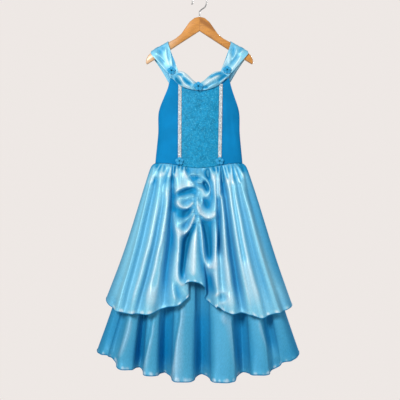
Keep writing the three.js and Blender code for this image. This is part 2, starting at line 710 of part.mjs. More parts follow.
// A rosette of five petals. A shoulder rosette has a ribbon tail that points away at the angle given.
function rosette({ x, z, radius, depth, tail, under }) {
  const sides = 15;
  const back = frontmost(under, x, z, radius * ROSETTE_RINGS[0].radius) + GAP;
  const points = [new THREE.Vector3(x, -back, z)];
  for (const ring of ROSETTE_RINGS) {
    for (let i = 0; i < sides; i++) {
      const angle = (i * 2 * Math.PI) / sides;
      const ribbon = tail ? 0.45 * Math.exp(-(((angle - tail) / 0.3) ** 2)) * (ring.depth < 0.5 ? 1 : 0) : 0;
      const reach = radius * ring.radius * (1 + ring.petal * Math.cos(5 * angle + ring.turn) + ribbon);
      points.push(
        new THREE.Vector3(x + reach * Math.cos(angle), -back - depth * ring.depth, z + reach * Math.sin(angle)),
      );
    }
  }
  points.push(new THREE.Vector3(x, -back - depth * 0.7, z));
  const index = [];
  for (let i = 0; i < sides; i++) {
    const next = (i + 1) % sides;
    index.push(0, 1 + next, 1 + i);
    for (let ring = 0; ring + 1 < ROSETTE_RINGS.length; ring++) {
      const [near, far] = [1 + ring * sides, 1 + (ring + 1) * sides];
      index.push(near + i, far + next, far + i, near + i, near + next, far + next);
    }
    const top = 1 + (ROSETTE_RINGS.length - 1) * sides;
    index.push(points.length - 1, top + i, top + next);
  }
  return solidGeometry(points, index);
}

const dress = new THREE.Group();

function add(name, geometry, material) {
  const mesh = new THREE.Mesh(geometry, material);
  mesh.name = name;
  dress.add(mesh);
}

add("bodice_front_centre", bodiceCentre(), COLOURS.glitter);
add("bodice_front_left", bodiceSide(-1), COLOURS.jersey);
add("bodice_front_right", bodiceSide(1), COLOURS.jersey);
add("bodice_back", bodiceBack(), COLOURS.jersey);
add("overskirt_front", overskirtFront(), COLOURS.satin);
add("overskirt_back", overskirtBack(), COLOURS.satin);
add("underskirt_front", underskirtFront(), COLOURS.underSatin);
add("underskirt_back", underskirtBack(), COLOURS.underSatin);
add("strap_left", strap(-1), COLOURS.satin);
add("strap_right", strap(1), COLOURS.satin);
add("swag_left", swag(-1), COLOURS.satin);
add("swag_right", swag(1), COLOURS.satin);
add("trim_left", trim(-1), COLOURS.braid);
add("trim_right", trim(1), COLOURS.braid);
for (const row of ROSETTES) add(row.name, rosette(row), COLOURS.rose);
add("hanger_bar", hangerBar(), COLOURS.wood);
add("hanger_hook", hangerHook(), COLOURS.wire);

export default dress;
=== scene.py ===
"""A child's princess costume dress on a wooden hanger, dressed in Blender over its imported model."""

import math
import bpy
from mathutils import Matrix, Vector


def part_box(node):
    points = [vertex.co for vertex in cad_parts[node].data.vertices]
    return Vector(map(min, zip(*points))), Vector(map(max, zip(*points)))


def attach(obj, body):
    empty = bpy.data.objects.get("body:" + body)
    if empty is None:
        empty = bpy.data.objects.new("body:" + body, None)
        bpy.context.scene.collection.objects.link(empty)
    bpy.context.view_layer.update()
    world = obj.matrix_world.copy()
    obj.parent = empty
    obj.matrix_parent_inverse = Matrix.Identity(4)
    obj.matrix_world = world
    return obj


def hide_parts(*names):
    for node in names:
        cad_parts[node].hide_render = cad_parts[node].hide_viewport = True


bl_info = {
    "name": "Princess costume dress",
    "version": (1, 0, 0),
    "blender": (4, 5, 0),
    "location": "View3D > Sidebar > Dress",
    "description": "Sews a satin costume dress over its packed model and sets up its stage",
    "category": "Object",
}

from typing import NamedTuple

import bmesh
import bpy
import numpy as np

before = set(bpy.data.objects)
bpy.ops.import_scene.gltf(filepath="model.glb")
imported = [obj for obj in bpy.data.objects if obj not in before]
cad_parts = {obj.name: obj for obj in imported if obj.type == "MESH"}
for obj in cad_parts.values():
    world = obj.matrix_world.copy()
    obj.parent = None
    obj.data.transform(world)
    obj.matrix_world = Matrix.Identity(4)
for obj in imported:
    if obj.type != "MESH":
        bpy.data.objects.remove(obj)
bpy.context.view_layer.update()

# Thicknesses in metres
TRIM_THICKNESS = 0.0007
SEQUIN_THICKNESS = 0.00025
RIBBON_THICKNESS = 0.0005

# From here on to the stage, sizes are in millimetres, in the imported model's frame. The front faces -Y.
MM = 0.001
GAP = 0.4
ARMPIT_Z = -352
SHOULDER_CORNER_Z = -249
BACK_CORNER_Z = -262
NECK_Z = -279
BACK_NECK_Z = -286
NECK_RISE = 34
NECK_HALF = 87
NECK_POWER = 2.2
SECTION_POWER = 2.6
ARMHOLE_OPENING = 0.22
WAIST_Z = -503
WAIST_HALF = 132
WAIST_DIP = 15
WAIST_BACK_DIP = 6
CENTRE_X = -3
PRINCESS_SEAMS = {-1: (-58, -59), 1: (64, 60)}
HEM_HALF = 300
OVERSKIRT_LENGTH = 420
UNDERSKIRT_LENGTH = 600
UNDERSKIRT_INSET = 1.5 + 2 * GAP
UNDERSKIRT_SPREAD = 1.05
PUCKERS = 14
PUCKER_X = -11
PUCKER_TOP_Z = -538
PUCKER_STEP = 11.2
SWAG_OUT = 4.4
SIDES = {"left": -1, "right": 1}

# How many times more columns the folds of the ruching get
FINE_COLUMNS = 4

# Nets of pulled cloth: samples from point to point of a line, the share of its height that a line keeps
# at its ends, rounds in which the cloth falls on each net, and rounds that soften it
NET_STEPS = 60
NET_END = 0.35
NET_ROUNDS = 110
NET_SOFTENING = 22

# A skirt's painted shade takes this share from fine relief, which counts in full at this height
SHADE_RELIEF = 0.62
SHADE_REACH = 25

TRIM_TOP_Z = -268
TRIM_END_Z = -491
TRIM_WIDTH = 9
TRIM_OUT = 2
SEQUIN_ROWS = 68
SEQUIN_STEP = 3
SEQUIN_OUT = 0.8
SEQUIN_LEAN = 0.25
SEQUIN_TILT = 0.12
ROSETTE_TURNS = 3.6
BAR_BEND = 8
BAR_HALF_SPAN = 160
# The painted reflection that makes the bar's left end paler
PAINTED_WOOD_REFLECTION = (0.74, 0.50, 0.31)

# The painted shade on the facet right of the bar's joint, and the joint, in shares of the bar's length
SHADED_FACET_SLOPE = 0.65
SHADED_FACET_EDGES = (0.672, 0.722)
SHADED_FACET_ENDS = (0.504, 0.645)
JOINT = (0.498, 0.502)

# The hook's wire, as (across, height): its stem, the inner radius of its bow and its tip
HOOK_STEM = ((0, -79), (0, -62), (0.4, -48), (7, -41), (16, -34.5))
HOOK_INSIDE = 19.5
HOOK_TIP = (-24.5, -25.5)


class Section(NamedTuple):
    """One height of the bodice: half widths, and how far it stands out in front and behind."""

    z: float
    left: float
    right: float
    front: float
    back: float


BODICE = [
    Section(-215, 84, 86, 18, 13),
    Section(-247, 90, 91, 19, 14),
    Section(-283, 97, 98, 22, 15),
    Section(-307, 107, 106, 24, 17),
    Section(-331, 117.6, 115, 26, 19),
    Section(-417, 124, 121, 29, 22),
    Section(-503, 132.6, 129, 27, 22),
    Section(-520, 134, 130.5, 27, 22),
]


class ArmholeEdge(NamedTuple):
    """Where the front armhole's edge runs at one height."""

    z: float
    left: float
    right: float


FRONT_ARMHOLE = [
    ArmholeEdge(-247, 86, 87),
    ArmholeEdge(-283, 96, 97),
    ArmholeEdge(-307, 106, 105),
    ArmholeEdge(-331, 116, 113.5),
    ArmholeEdge(-340, 118.7, 116),
    ArmholeEdge(-347, 121.2, 118.1),
    ArmholeEdge(-352, 122.6, 119.4),
]


class Fold(NamedTuple):
    """A ridge or hollow down a skirt: its place across and how far out it stands, and the hem's height."""

    name: str
    waist: float
    middle: float
    hem: float
    middle_out: float
    hem_out: float
    hem_z: float


OVERSKIRT_FRONT = [
    Fold("left seam", -134, -203, -279, 0, 0, -905),
    Fold("left edge hollow", -130, -189, -260, 32, 46, -926),
    Fold("left edge ridge", -125, -177, -238, 52, 84, -936),
    Fold("left outer hollow", -117, -160, -220, 46, 73, -941),
    Fold("left outer ridge", -108, -142, -197, 66, 93, -942),
    Fold("left inner hollow", -98, -127, -183, 54, 76, -943),
    Fold("left inner ridge", -87, -112, -152, 70, 97, -943),
    Fold("left deep hollow", -77, -86, -109, 42, 67, -929),
    Fold("ruching left ridge", -66, -61, -71, 62, 88, -920),
    Fold("left pull", -36, -38, -44, 44, 67, -894),
    Fold("centre flute", -8, -16, -11, 64, 86, -850),
    Fold("right pull", 14, 25, 23, 46, 68, -892),
    Fold("ruching right ridge", 44, 46, 51, 62, 88, -921),
    Fold("right pull hollow", 52, 57, 71, 42, 76, -936),
    Fold("right inner ridge", 58, 73, 97, 67, 94, -942),
    Fold("right deep hollow", 66, 89, 124, 43, 67, -941),
    Fold("right second ridge", 81, 109, 151, 69, 93, -945),
    Fold("right small hollow", 88, 115, 163, 61, 84, -951),
    Fold("right third ridge", 95, 127, 181, 68, 95, -954),
    Fold("right outer hollow", 104, 144, 204, 51, 73, -947),
    Fold("right outer ridge", 115, 160, 230, 56, 85, -940),
    Fold("right edge hollow", 125, 180, 252, 33, 46, -937),
    Fold("right seam", 130, 203, 277, 0, 0, -924),
]

UNDERSKIRT_FRONT = [
    Fold("left seam", -131.2, -236, -306, 0, 0, -1060),
    Fold("left side flute", -122, -219, -283, 36, 54, -1066),
    Fold("left side hollow", -110, -204, -258, 31, 47, -1075),
    Fold("second flute", -96, -184, -214, 50, 92, -1103),
    Fold("second hollow", -82, -158, -176, 25, 34, -1106),
    Fold("third flute", -62, -134, -143, 54, 102, -1118),
    Fold("third hollow", -44, -98, -102, 25, 34, -1122),
    Fold("fourth flute", -20, -38, -46, 55, 110, -1134),
    Fold("fourth hollow", 4, 5, 7, 24, 34, -1126),
    Fold("fifth flute", 32, 66, 70, 56, 112, -1136),
    Fold("fifth hollow", 60, 118, 128, 25, 34, -1120),
    Fold("sixth flute", 84, 160, 177, 52, 100, -1117),
    Fold("sixth hollow", 104, 190, 221, 27, 42, -1108),
    Fold("right side flute", 117, 211, 266, 37, 56, -1085),
    Fold("right seam", 127.6, 230, 298, 0, 0, -1066),
]


class SkirtCut(NamedTuple):
    """How a skirt panel's cloth behaves between its folds, and how far it springs out below the waist.

    A breadth under 1 makes its flutes broader than its hollows.
    """

    middle: float
    fullness: float
    sway: float
    tuck: float
    dip: float
    spring: float = 0
    breadth: float = 1


OVERSKIRT_FRONT_CUT = SkirtCut(middle=0.5, fullness=1, sway=0.25, tuck=0, dip=WAIST_DIP, spring=9)
OVERSKIRT_BACK_CUT = SkirtCut(middle=0.5, fullness=1, sway=0.2, tuck=0, dip=WAIST_BACK_DIP, spring=9)

# The hem's way round the arch at the centre front, as (across, out, height) after each of four folds
ARCH = {
    "ruching left ridge": ((-71, 88, -920), (-61, 84, -918), (-48, 76, -909), (-33, 66, -897)),
    "left pull": (
        (-33, 66, -897),
        (-30, 54, -890),
        (-37, 50, -880),
        (-43, 56, -868),
        (-42, 66, -858),
        (-33, 76, -851),
        (-23, 83, -849),
        (-12, 86, -850),
    ),
    "centre flute": (
        (-12, 86, -850),
        (0, 85, -854),
        (10, 80, -861),
        (18, 71, -872),
        (20, 60, -886),
        (16, 50, -898),
        (18, 46, -906),
        (28, 54, -911),
    ),
    "right pull": ((28, 54, -911), (36, 66, -918), (44, 80, -922), (51, 88, -926)),
}
ARCH_START = 0.62
UNDERSKIRT_FRONT_CUT = SkirtCut(middle=0.64, fullness=0.6, sway=0.8, tuck=0.35, dip=WAIST_DIP, breadth=0.72)
UNDERSKIRT_BACK_CUT = SkirtCut(middle=0.64, fullness=0.8, sway=0.6, tuck=0.35, dip=WAIST_BACK_DIP)


class Crease(NamedTuple):
    """A soft ridge, or a trough where it sinks, along points (across, height)."""

    points: tuple
    width: float
    rise: float


class Pull(NamedTuple):
    """A line along points (across, height) where pulled cloth stands highest, or sinks lowest."""

    points: tuple
    rise: float


class Net(NamedTuple):
    """Heights on a square net, with its lowest corner (across, height) and the side of a cell."""

    heights: np.ndarray
    low: tuple
    cell: float


# The ruching at the centre front: puffs, loops and swags that curl away from the gathered line
RUCHING = [
    # The upper left puff: its left edge, its right edge and its lip over a leaf-shaped hollow
    Pull(((-69, -531), (-74, -558), (-72, -589)), 6),
    Pull(((-48, -521), (-38, -546), (-27, -563), (-14, -570)), 8),
    Pull(((-38, -524), (-28, -542), (-19, -556), (-10, -563)), -7),
    Pull(((-73, -592), (-64, -584), (-50, -577), (-34, -573), (-16, -574)), 10),
    Pull(((-64, -602), (-56, -592), (-43, -585), (-27, -581), (-14, -580)), -13),
    # The oval puff: its wavy top, its rim and the shadow below
    Pull(((-65, -609), (-53, -606), (-40, -610), (-31, -603), (-16, -601)), 6),
    Pull(((-51, -621), (-37, -619), (-25, -612)), -3),
    Pull(((-66, -611), (-64, -623), (-55, -633), (-43, -637), (-33, -635), (-23, -625), (-16, -617)), 11),
    Pull(((-68, -635), (-52, -646), (-32, -644), (-17, -632)), -10),
    # The left pouch: its inner fold, its rim and the hollows between
    Pull(((-70, -658), (-51, -660), (-34, -655), (-23, -643)), -8),
    Pull(((-64, -684), (-51, -680), (-39, -672), (-28, -660), (-21, -648), (-14, -639)), 6),
    Pull(((-52, -694), (-39, -687), (-27, -669), (-19, -655)), -4),
    Pull(((-66, -690), (-60, -705), (-47, -713), (-35, -704), (-25, -684), (-17, -664), (-12, -652)), 12),
    # The long left loop and its deep valley
    Pull(((-77, -652), (-72, -687), (-63, -716), (-61, -741), (-62, -780), (-64, -815), (-61, -842),
          (-53, -858), (-45, -856), (-42, -847)), 9),
    Pull(((-10, -672), (-20, -699), (-32, -720), (-39, -743), (-45, -777), (-50, -812),
          (-52, -842)), -19),
    # The centre flute: its left edge, its crest and the trough on its right
    Pull(((-9, -687), (-19, -719), (-28, -751), (-34, -780), (-38, -812), (-41, -838)), 5),
    Pull(((-7, -677), (-10, -722), (-13, -754), (-15, -786), (-17, -818), (-19, -838)), 10),
    Pull(((-3, -684), (1, -722), (5, -761), (9, -799), (12, -834)), -6),
    # The long right loop and its valley
    Pull(((-3, -652), (4, -684), (7, -722), (10, -764), (17, -794), (27, -811), (37, -808), (44, -791),
          (47, -767), (50, -741), (52, -716), (54, -687), (54, -655)), 11),
    Pull(((5, -672), (13, -696), (23, -728), (28, -761), (29, -788)), -16),
    # The right lobe, its hollow and the shadow below
    Pull(((-9, -617), (-5, -635), (5, -653), (21, -665), (34, -664), (44, -655), (47, -642)), 12),
    Pull(((11, -608), (18, -624), (27, -637)), -11),
    Pull(((-2, -658), (14, -675), (35, -676), (49, -667)), -5),
    # The small leaf beside the gathers
    Pull(((-8, -604), (-5, -621), (2, -627), (9, -619), (9, -605), (0, -591)), 6),
    Pull(((-1, -605), (2, -619)), -4),
    # The right curl and the pocket in it
    Pull(((-10, -573), (0, -580), (9, -583), (13, -595), (19, -603), (28, -594), (32, -579), (29, -569),
          (21, -555), (11, -546), (0, -542)), 8),
    Pull(((11, -557), (22, -570), (26, -587)), -17),
    # The tall fold right of the curl, with a hollow on each side
    Pull(((37, -530), (42, -555), (46, -591), (51, -626), (54, -652)), 9),
    Pull(((28, -526), (28, -542), (33, -562), (36, -591), (39, -619)), -9),
    Pull(((60, -519), (62, -562), (62, -610), (60, -658), (56, -703), (54, -741), (55, -770)), -10),
    # The swirl at the hem, and the fold that runs down to it
    Pull(((35, -814), (44, -834), (49, -860), (58, -881), (67, -890)), 7),
    Pull(((42, -896), (51, -884), (70, -880), (82, -889), (81, -904), (67, -912), (51, -906)), 10),
    Pull(((57, -894), (72, -899)), -1),
    Pull(((30, -831), (39, -860), (43, -886)), -5),
    # The puffs beside the arch on the left
    Pull(((-82, -847), (-77, -876), (-69, -905)), 8),
    Pull(((-68, -857), (-64, -883), (-57, -899)), -6),
    Pull(((-51, -870), (-43, -879), (-34, -892)), 6),
    # The small flower-like swirl at the top
    Pull(((-31, -546), (-28, -539), (-18, -535), (-7, -539), (5, -537), (11, -546), (6, -553)), 6),
    Pull(((-28, -549), (-23, -560), (-16, -563)), 6),
    Pull(((-19, -546), (-3, -548)), -7),
    Pull(((-13, -557), (3, -562), (12, -557)), 6),
    Pull(((-7, -567), (7, -570)), -6),
    # The gathered line itself
    Pull(((-9, -531), (-10, -562), (-11, -594), (-13, -626), (-11, -652), (-8, -674)), -7),
]

# The long ridges and hollows of the rest of the overskirt's front
SKIRT_PULLS = [
    # Left of the ruching, from the side seam inwards
    Pull(((-130, -522), (-140, -551), (-153, -590), (-165, -638), (-178, -687), (-194, -741),
          (-208, -787), (-220, -832), (-229, -874), (-238, -919)), 8),
    Pull(((-229, -845), (-237, -874), (-247, -908)), 6),
    Pull(((-131, -545), (-136, -583), (-148, -632), (-161, -683), (-172, -729), (-184, -777),
          (-199, -825), (-213, -874), (-218, -919)), -5),
    Pull(((-120, -523), (-116, -548), (-116, -578)), 6),
    Pull(((-112, -570), (-123, -641), (-134, -696), (-145, -745), (-162, -793), (-173, -838),
          (-187, -880), (-199, -925)), 8),
    Pull(((-102, -596), (-112, -648), (-122, -696), (-130, -745), (-142, -793), (-155, -842),
          (-168, -880), (-180, -929)), -7),
    Pull(((-87, -533), (-95, -577), (-103, -608)), 7),
    Pull(((-83, -538), (-89, -587), (-93, -632), (-101, -683), (-110, -732), (-122, -774), (-129, -812),
          (-140, -851), (-151, -890), (-151, -922)), 9),
    Pull(((-100, -709), (-113, -777), (-123, -825), (-133, -861)), -3),
    Pull(((-95, -690), (-103, -729), (-108, -767), (-116, -809), (-118, -851), (-126, -896),
          (-133, -929)), 7),
    Pull(((-80, -541), (-82, -583), (-86, -632), (-87, -680), (-85, -722), (-92, -767), (-96, -809),
          (-100, -854), (-104, -919)), -13),
    Pull(((-68, -754), (-74, -793), (-80, -825), (-83, -858)), 5),
    # Right of the ruching, out to the side seam
    Pull(((56, -528), (60, -567), (63, -609), (70, -658), (73, -709), (76, -761), (82, -809), (87, -851),
          (89, -883)), 9),
    Pull(((71, -538), (73, -567), (80, -609), (86, -658), (88, -703), (94, -748), (102, -793),
          (107, -835), (115, -883), (122, -929)), -12),
    Pull(((84, -777), (89, -825), (91, -858), (99, -890), (109, -926)), 6),
    Pull(((75, -523), (83, -567), (89, -590), (94, -632), (102, -677), (109, -722), (117, -771),
          (126, -819), (136, -861), (147, -903), (158, -938)), 8),
    Pull(((98, -541), (102, -599), (109, -648), (115, -696), (122, -741), (131, -787)), -2),
    Pull(((101, -551), (105, -599), (113, -645), (122, -687), (128, -729), (136, -767), (147, -812),
          (159, -854), (172, -887), (184, -919)), 8),
    Pull(((111, -545), (115, -587), (122, -625), (133, -664), (143, -709), (154, -754), (165, -793),
          (178, -829), (188, -867), (201, -906)), -6),
    Pull(((107, -525), (120, -551), (128, -580), (138, -616), (150, -654), (160, -693), (172, -732),
          (183, -771), (197, -809), (212, -854), (226, -890), (239, -922)), 8),
    Pull(((123, -521), (134, -545)), 5),
    Pull(((136, -580), (158, -638), (184, -712), (210, -787), (236, -858)), -4),
]

# The little pleats of the overskirt's gathered waist, and the gaps between them
WAIST_PLEATS = [
    Pull(((-112, -510), (-121, -520), (-131, -541), (-140, -568)), -4),
    Pull(((-86, -510), (-91, -526), (-98, -546), (-105, -570)), -4),
    Pull(((-80, -510), (-81, -532), (-82, -563)), -5),
    Pull(((-72, -512), (-74, -524), (-76, -535)), -5),
    Pull(((-104, -510), (-102, -520), (-105, -528)), -3),
    Pull(((-124, -508), (-128, -517)), -3),
    Pull(((-60, -511), (-63, -517)), -4),
    Pull(((-50, -512), (-51, -524)), -4),
    Pull(((-40, -514), (-38, -526)), -4),
    Pull(((-134, -508), (-144, -537), (-153, -570)), 3),
    Pull(((-118, -508), (-129, -536), (-142, -567)), 4),
    Pull(((-108, -508), (-114, -526), (-118, -550)), 3),
    Pull(((-97, -509), (-101, -524), (-108, -544)), 4),
    Pull(((-89, -510), (-88, -517), (-96, -544)), 3),
    Pull(((-83, -511), (-83, -522), (-87, -546)), 4),
    Pull(((-76, -511), (-77, -524), (-77, -544)), 3),
    Pull(((-66, -512), (-69, -526), (-71, -546)), 4),
    Pull(((-55, -512), (-58, -524)), 3),
    Pull(((-45, -514), (-45, -526), (-35, -548)), 4),
    Pull(((25, -520), (24, -535), (27, -550)), -5),
    Pull(((40, -516), (47, -528)), -4),
    Pull(((65, -512), (67, -533), (70, -563)), -6),
    Pull(((75, -515), (79, -535), (83, -550)), -4),
    Pull(((84, -512), (88, -532)), -4),
    Pull(((98, -511), (100, -530), (105, -563)), -4),
    Pull(((107, -512), (117, -544), (122, -567)), -3),
    Pull(((117, -511), (123, -520), (128, -532)), -4),
    Pull(((54, -515), (55, -533)), -3),
    Pull(((32, -517), (34, -532), (37, -559)), 4),
    Pull(((49, -514), (52, -537)), 4),
    Pull(((59, -513), (60, -533), (61, -563)), 3),
    Pull(((71, -513), (77, -539), (83, -567)), 4),
    Pull(((80, -512), (85, -535), (90, -563)), 3),
    Pull(((94, -511), (97, -543), (101, -570)), 4),
    Pull(((103, -511), (112, -539), (122, -565)), 4),
    Pull(((114, -510), (124, -527), (133, -552)), 4),
    Pull(((14, -519), (16, -524)), 3),
]

# The flutes' sharp edges, the hollows beside them and the curls at the underskirt's hem
UNDERSKIRT_PULLS = [
    Pull(((-199, -947), (-210, -1003), (-231, -1055), (-247, -1073)), 5),
    Pull(((-132, -951), (-144, -1016), (-159, -1082), (-168, -1109)), 4),
    Pull(((-53, -918), (-57, -963), (-68, -1029), (-76, -1095), (-84, -1122)), 4),
    Pull(((-145, -949), (-166, -1029), (-182, -1079)), -8),
    Pull(((-137, -950), (-150, -1013), (-165, -1082)), -8),
    Pull(((-92, -942), (-101, -1016), (-112, -1098)), -6),
    Pull(((-58, -926), (-64, -976), (-74, -1024), (-82, -1087)), -8),
    Pull(((-8, -950), (-8, -1029), (-4, -1116)), -8),
    Pull(((-240, -945), (-250, -984), (-266, -1029)), -3),
    Pull(((-277, -1056), (-261, -1052), (-251, -1067)), 4),
    Pull(((-179, -1092), (-165, -1091)), 4),
    Pull(((-105, -1106), (-92, -1102), (-84, -1109)), 4),
    Pull(((91, -949), (96, -1003), (103, -1082), (108, -1124)), 4),
    Pull(((97, -958), (102, -1016), (108, -1082)), -8),
    Pull(((127, -947), (137, -1016), (149, -1082)), -9),
    Pull(((27, -950), (28, -1029), (29, -1108)), -7),
    Pull(((174, -958), (185, -1003), (201, -1055), (211, -1093)), 5),
    Pull(((184, -954), (198, -1003), (214, -1045)), -7),
    Pull(((69, -946), (72, -960), (75, -976)), 4),
    Pull(((235, -963), (253, -1061)), 2),
    Pull(((217, -1083), (232, -1076), (243, -1082)), 4),
    Pull(((6, -1111), (19, -1107), (27, -1112)), 4),
]

# Folds of the straps' fronts and of the neckline swags, by side
STRAP_PULLS = {
    -1: [
        Pull(((-138, -181), (-117, -206), (-96, -232)), 2.2),
        Pull(((-122, -186), (-113, -197), (-107, -204)), -2.2),
        Pull(((-121, -166), (-117, -173), (-113, -178)), -3),
        Pull(((-107, -156), (-107, -165)), -2.5),
        Pull(((-132, -173), (-120, -183), (-103, -200), (-90, -222)), 1.8),
        Pull(((-101, -157), (-99, -176), (-95, -196), (-86, -221)), 2.6),
        Pull(((-94, -161), (-93, -177), (-90, -194)), -1),
        Pull(((-90, -157), (-86, -176), (-83, -196), (-80, -219)), 2.8),
        Pull(((-85, -168), (-81, -187), (-78, -200), (-76, -219)), -4.5),
        Pull(((-79, -180), (-72, -203), (-67, -229)), 2),
    ],
    1: [
        Pull(((90, -168), (83, -188), (73, -207), (65, -223)), 2.6),
        Pull(((84, -171), (77, -192), (68, -210), (62, -223)), -2.4),
        Pull(((103, -156), (101, -172), (100, -186)), -3.6),
        Pull(((111, -160), (108, -176), (103, -188), (96, -199)), 2),
        Pull(((115, -182), (104, -193), (91, -208)), -3.6),
        Pull(((126, -180), (115, -199), (104, -215), (93, -230)), 2.8),
        Pull(((91, -176), (89, -194), (89, -210)), 2.6),
        Pull(((118, -172), (122, -167), (128, -162)), -3.2),
        Pull(((121, -175), (126, -171), (131, -168)), 2.4),
    ],
}
SWAG_PULLS = {
    -1: [
        Pull(((-79, -250), (-71, -263), (-58, -274), (-42, -281), (-25, -285), (-12, -287)), 3),
        Pull(((-41, -283), (-26, -286), (-12, -289)), -3),
        Pull(((-72, -251), (-65, -263), (-55, -270)), -6),
        Pull(((-64, -243), (-55, -253), (-48, -267), (-38, -275), (-23, -280)), 4.5),
        Pull(((-48, -249), (-43, -258), (-34, -266), (-23, -272)), -5),
        Pull(((-49, -245), (-35, -251), (-23, -262), (-15, -271)), 3.5),
        Pull(((-66, -238), (-58, -240), (-51, -243)), -5),
        Pull(((-65, -234), (-53, -236), (-40, -242)), 3.5),
    ],
    1: [
        Pull(((82, -246), (71, -256), (60, -265)), 4),
        Pull(((82, -241), (69, -251), (55, -261)), -4),
        Pull(((59, -245), (41, -253), (27, -264), (13, -275)), 4.5),
        Pull(((69, -233), (53, -238), (39, -245), (32, -251)), -5),
        Pull(((63, -231), (49, -235), (36, -242)), 2.5),
        Pull(((53, -267), (36, -275), (22, -284), (8, -290)), 3),
        Pull(((49, -264), (36, -270), (26, -277)), -1.5),
        Pull(((9, -282), (15, -278), (22, -278), (21, -284)), -4),
    ],
}

# Faint wrinkles of the stretch side panels
JERSEY_CREASES = [
    Crease(((-86, -300), (-86, -420), (-90, -495)), 7, 1.1),
    Crease(((-104, -390), (-88, -340), (-78, -300)), 5, -0.9),
    Crease(((-124, -480), (-104, -420), (-92, -360)), 6, 1.2),
    Crease(((-110, -490), (-96, -440)), 5, -0.9),
    Crease(((76, -300), (84, -400), (84, -490)), 7, 0.9),
    Crease(((118, -470), (104, -410), (98, -350)), 6, 1.1),
    Crease(((110, -490), (96, -450)), 5, -0.8),
]


class StrapPlace(NamedTuple):
    """A place on a shoulder strap's way over the bar, for the right side."""

    inner_x: float
    inner_z: float
    outer_x: float
    outer_z: float
    y: float


STRAP = [
    StrapPlace(62, -274, 91, -262, 12),
    StrapPlace(78, -212, 118, -217, 12),
    StrapPlace(93, -150, 144, -180, 10.5),
    StrapPlace(93, -140, 144, -169.8, 6.6),
    StrapPlace(93, -138.8, 144, -168.8, 0),
    StrapPlace(93, -140, 144, -169.8, -6.6),
    StrapPlace(92, -150, 143, -180, -10.5),
    StrapPlace(78, -190, 116, -211, -15),
    StrapPlace(63, -229.2, 86.5, -244.6, -20),
]


class SwagPlace(NamedTuple):
    """A place along half of the neckline swag, from the shoulder rosette to the centre one."""

    upper_x: float
    upper_z: float
    lower_x: float
    lower_z: float
    puff: float


SWAG = [
    SwagPlace(63, -229.8, 85.5, -245.4, 5),
    SwagPlace(51, -231.5, 73, -259, 10),
    SwagPlace(40, -237, 57, -272.5, 13),
    SwagPlace(29, -246, 41, -280.5, 13),
    SwagPlace(17, -257.5, 23, -286, 10),
    SwagPlace(2.3, -267, 2.3, -289, 4),
]


class Rosette(NamedTuple):
    """A ribbon rosette: the node it replaces, its centre, its radius and its depth."""

    node: str
    x: float
    z: float
    radius: float
    depth: float


ROSETTES = [
    Rosette("rosette_left_shoulder", -82.8, -229, 12.5, 9),
    Rosette("rosette_right_shoulder", 82.5, -227, 12.5, 9),
    Rosette("rosette_centre_neck", CENTRE_X, -277, 13.5, 10),
    Rosette("rosette_left_waist", -59, -498, 12, 8),
    Rosette("rosette_right_waist", 60, -498, 12, 8),
]

# How the straps run on at their ends: down inside the bodice in front, and over the back panel behind
STRAP_END_ROWS = 12
STRAP_FRONT_END = {"narrowing": 0.965, "outer_z": -256, "slope": 14, "inside": 2.5}
STRAP_BACK_END = {"narrowing": 0.96, "drop": 8, "outside": 1.2}

# The stage, in metres. The photograph is 400 pixels wide, and a pixel is 3 mm at the hanger's plane.
VIEW_DISTANCE = 2.4
VIEW_CENTRE = (0.0015, -0.613)
VIEW_LENS = 72
VIEW_SENSOR = 36
FLOOR_Z = -1.6
FLOOR_RADIUS = 1.5
WALL_COLOUR = (0.855, 0.808, 0.783)
SKY_COLOUR = (0.93, 0.97, 1.0)
SKY_STRENGTH = 0.38


class Light(NamedTuple):
    """A rectangular light, in metres and watts."""

    name: str
    place: tuple
    aim: tuple
    size: tuple
    power: float
    colour: tuple


LIGHTS = [
    Light("key", (-1.0, -2.5, 0.4), (0, 0, -0.65), (0.5, 0.8), 62, (1, 0.985, 0.96)),
    Light("fill", (2.3, -1.6, -0.3), (0, 0, -0.7), (0.3, 1.4), 12, (0.95, 0.98, 1)),
    Light("rear", (1.0, 2.5, 0.4), (0, 0, -0.65), (0.5, 0.8), 50, (1, 1, 1)),
]


def length_property(label, text, value):
    """A size that a user can change."""
    return bpy.props.FloatProperty(name=label, description=text, default=value, unit="LENGTH")


class DressSizes(bpy.types.PropertyGroup):
    """Sizes of the cloth and its trimmings."""

    satin: length_property("Satin thickness", "Thickness of the skirts' cloth", 0.0011)
    jersey: length_property("Jersey thickness", "Thickness of the bodice's cloth", 0.0013)
    hem_roll: length_property("Hem roll", "Radius of the rolled hem's thread", 0.0011)
    sequin: length_property("Sequin", "Diameter of a sequin on the braid trims", 0.0042)
    wire: length_property("Hook wire", "Diameter of the hanger's hook", 0.0034)


def colour_property(label, text, value):
    """A colour that a user can change."""
    return bpy.props.FloatVectorProperty(
        name=label, description=text, subtype="COLOR", size=3, min=0, max=1, default=value
    )


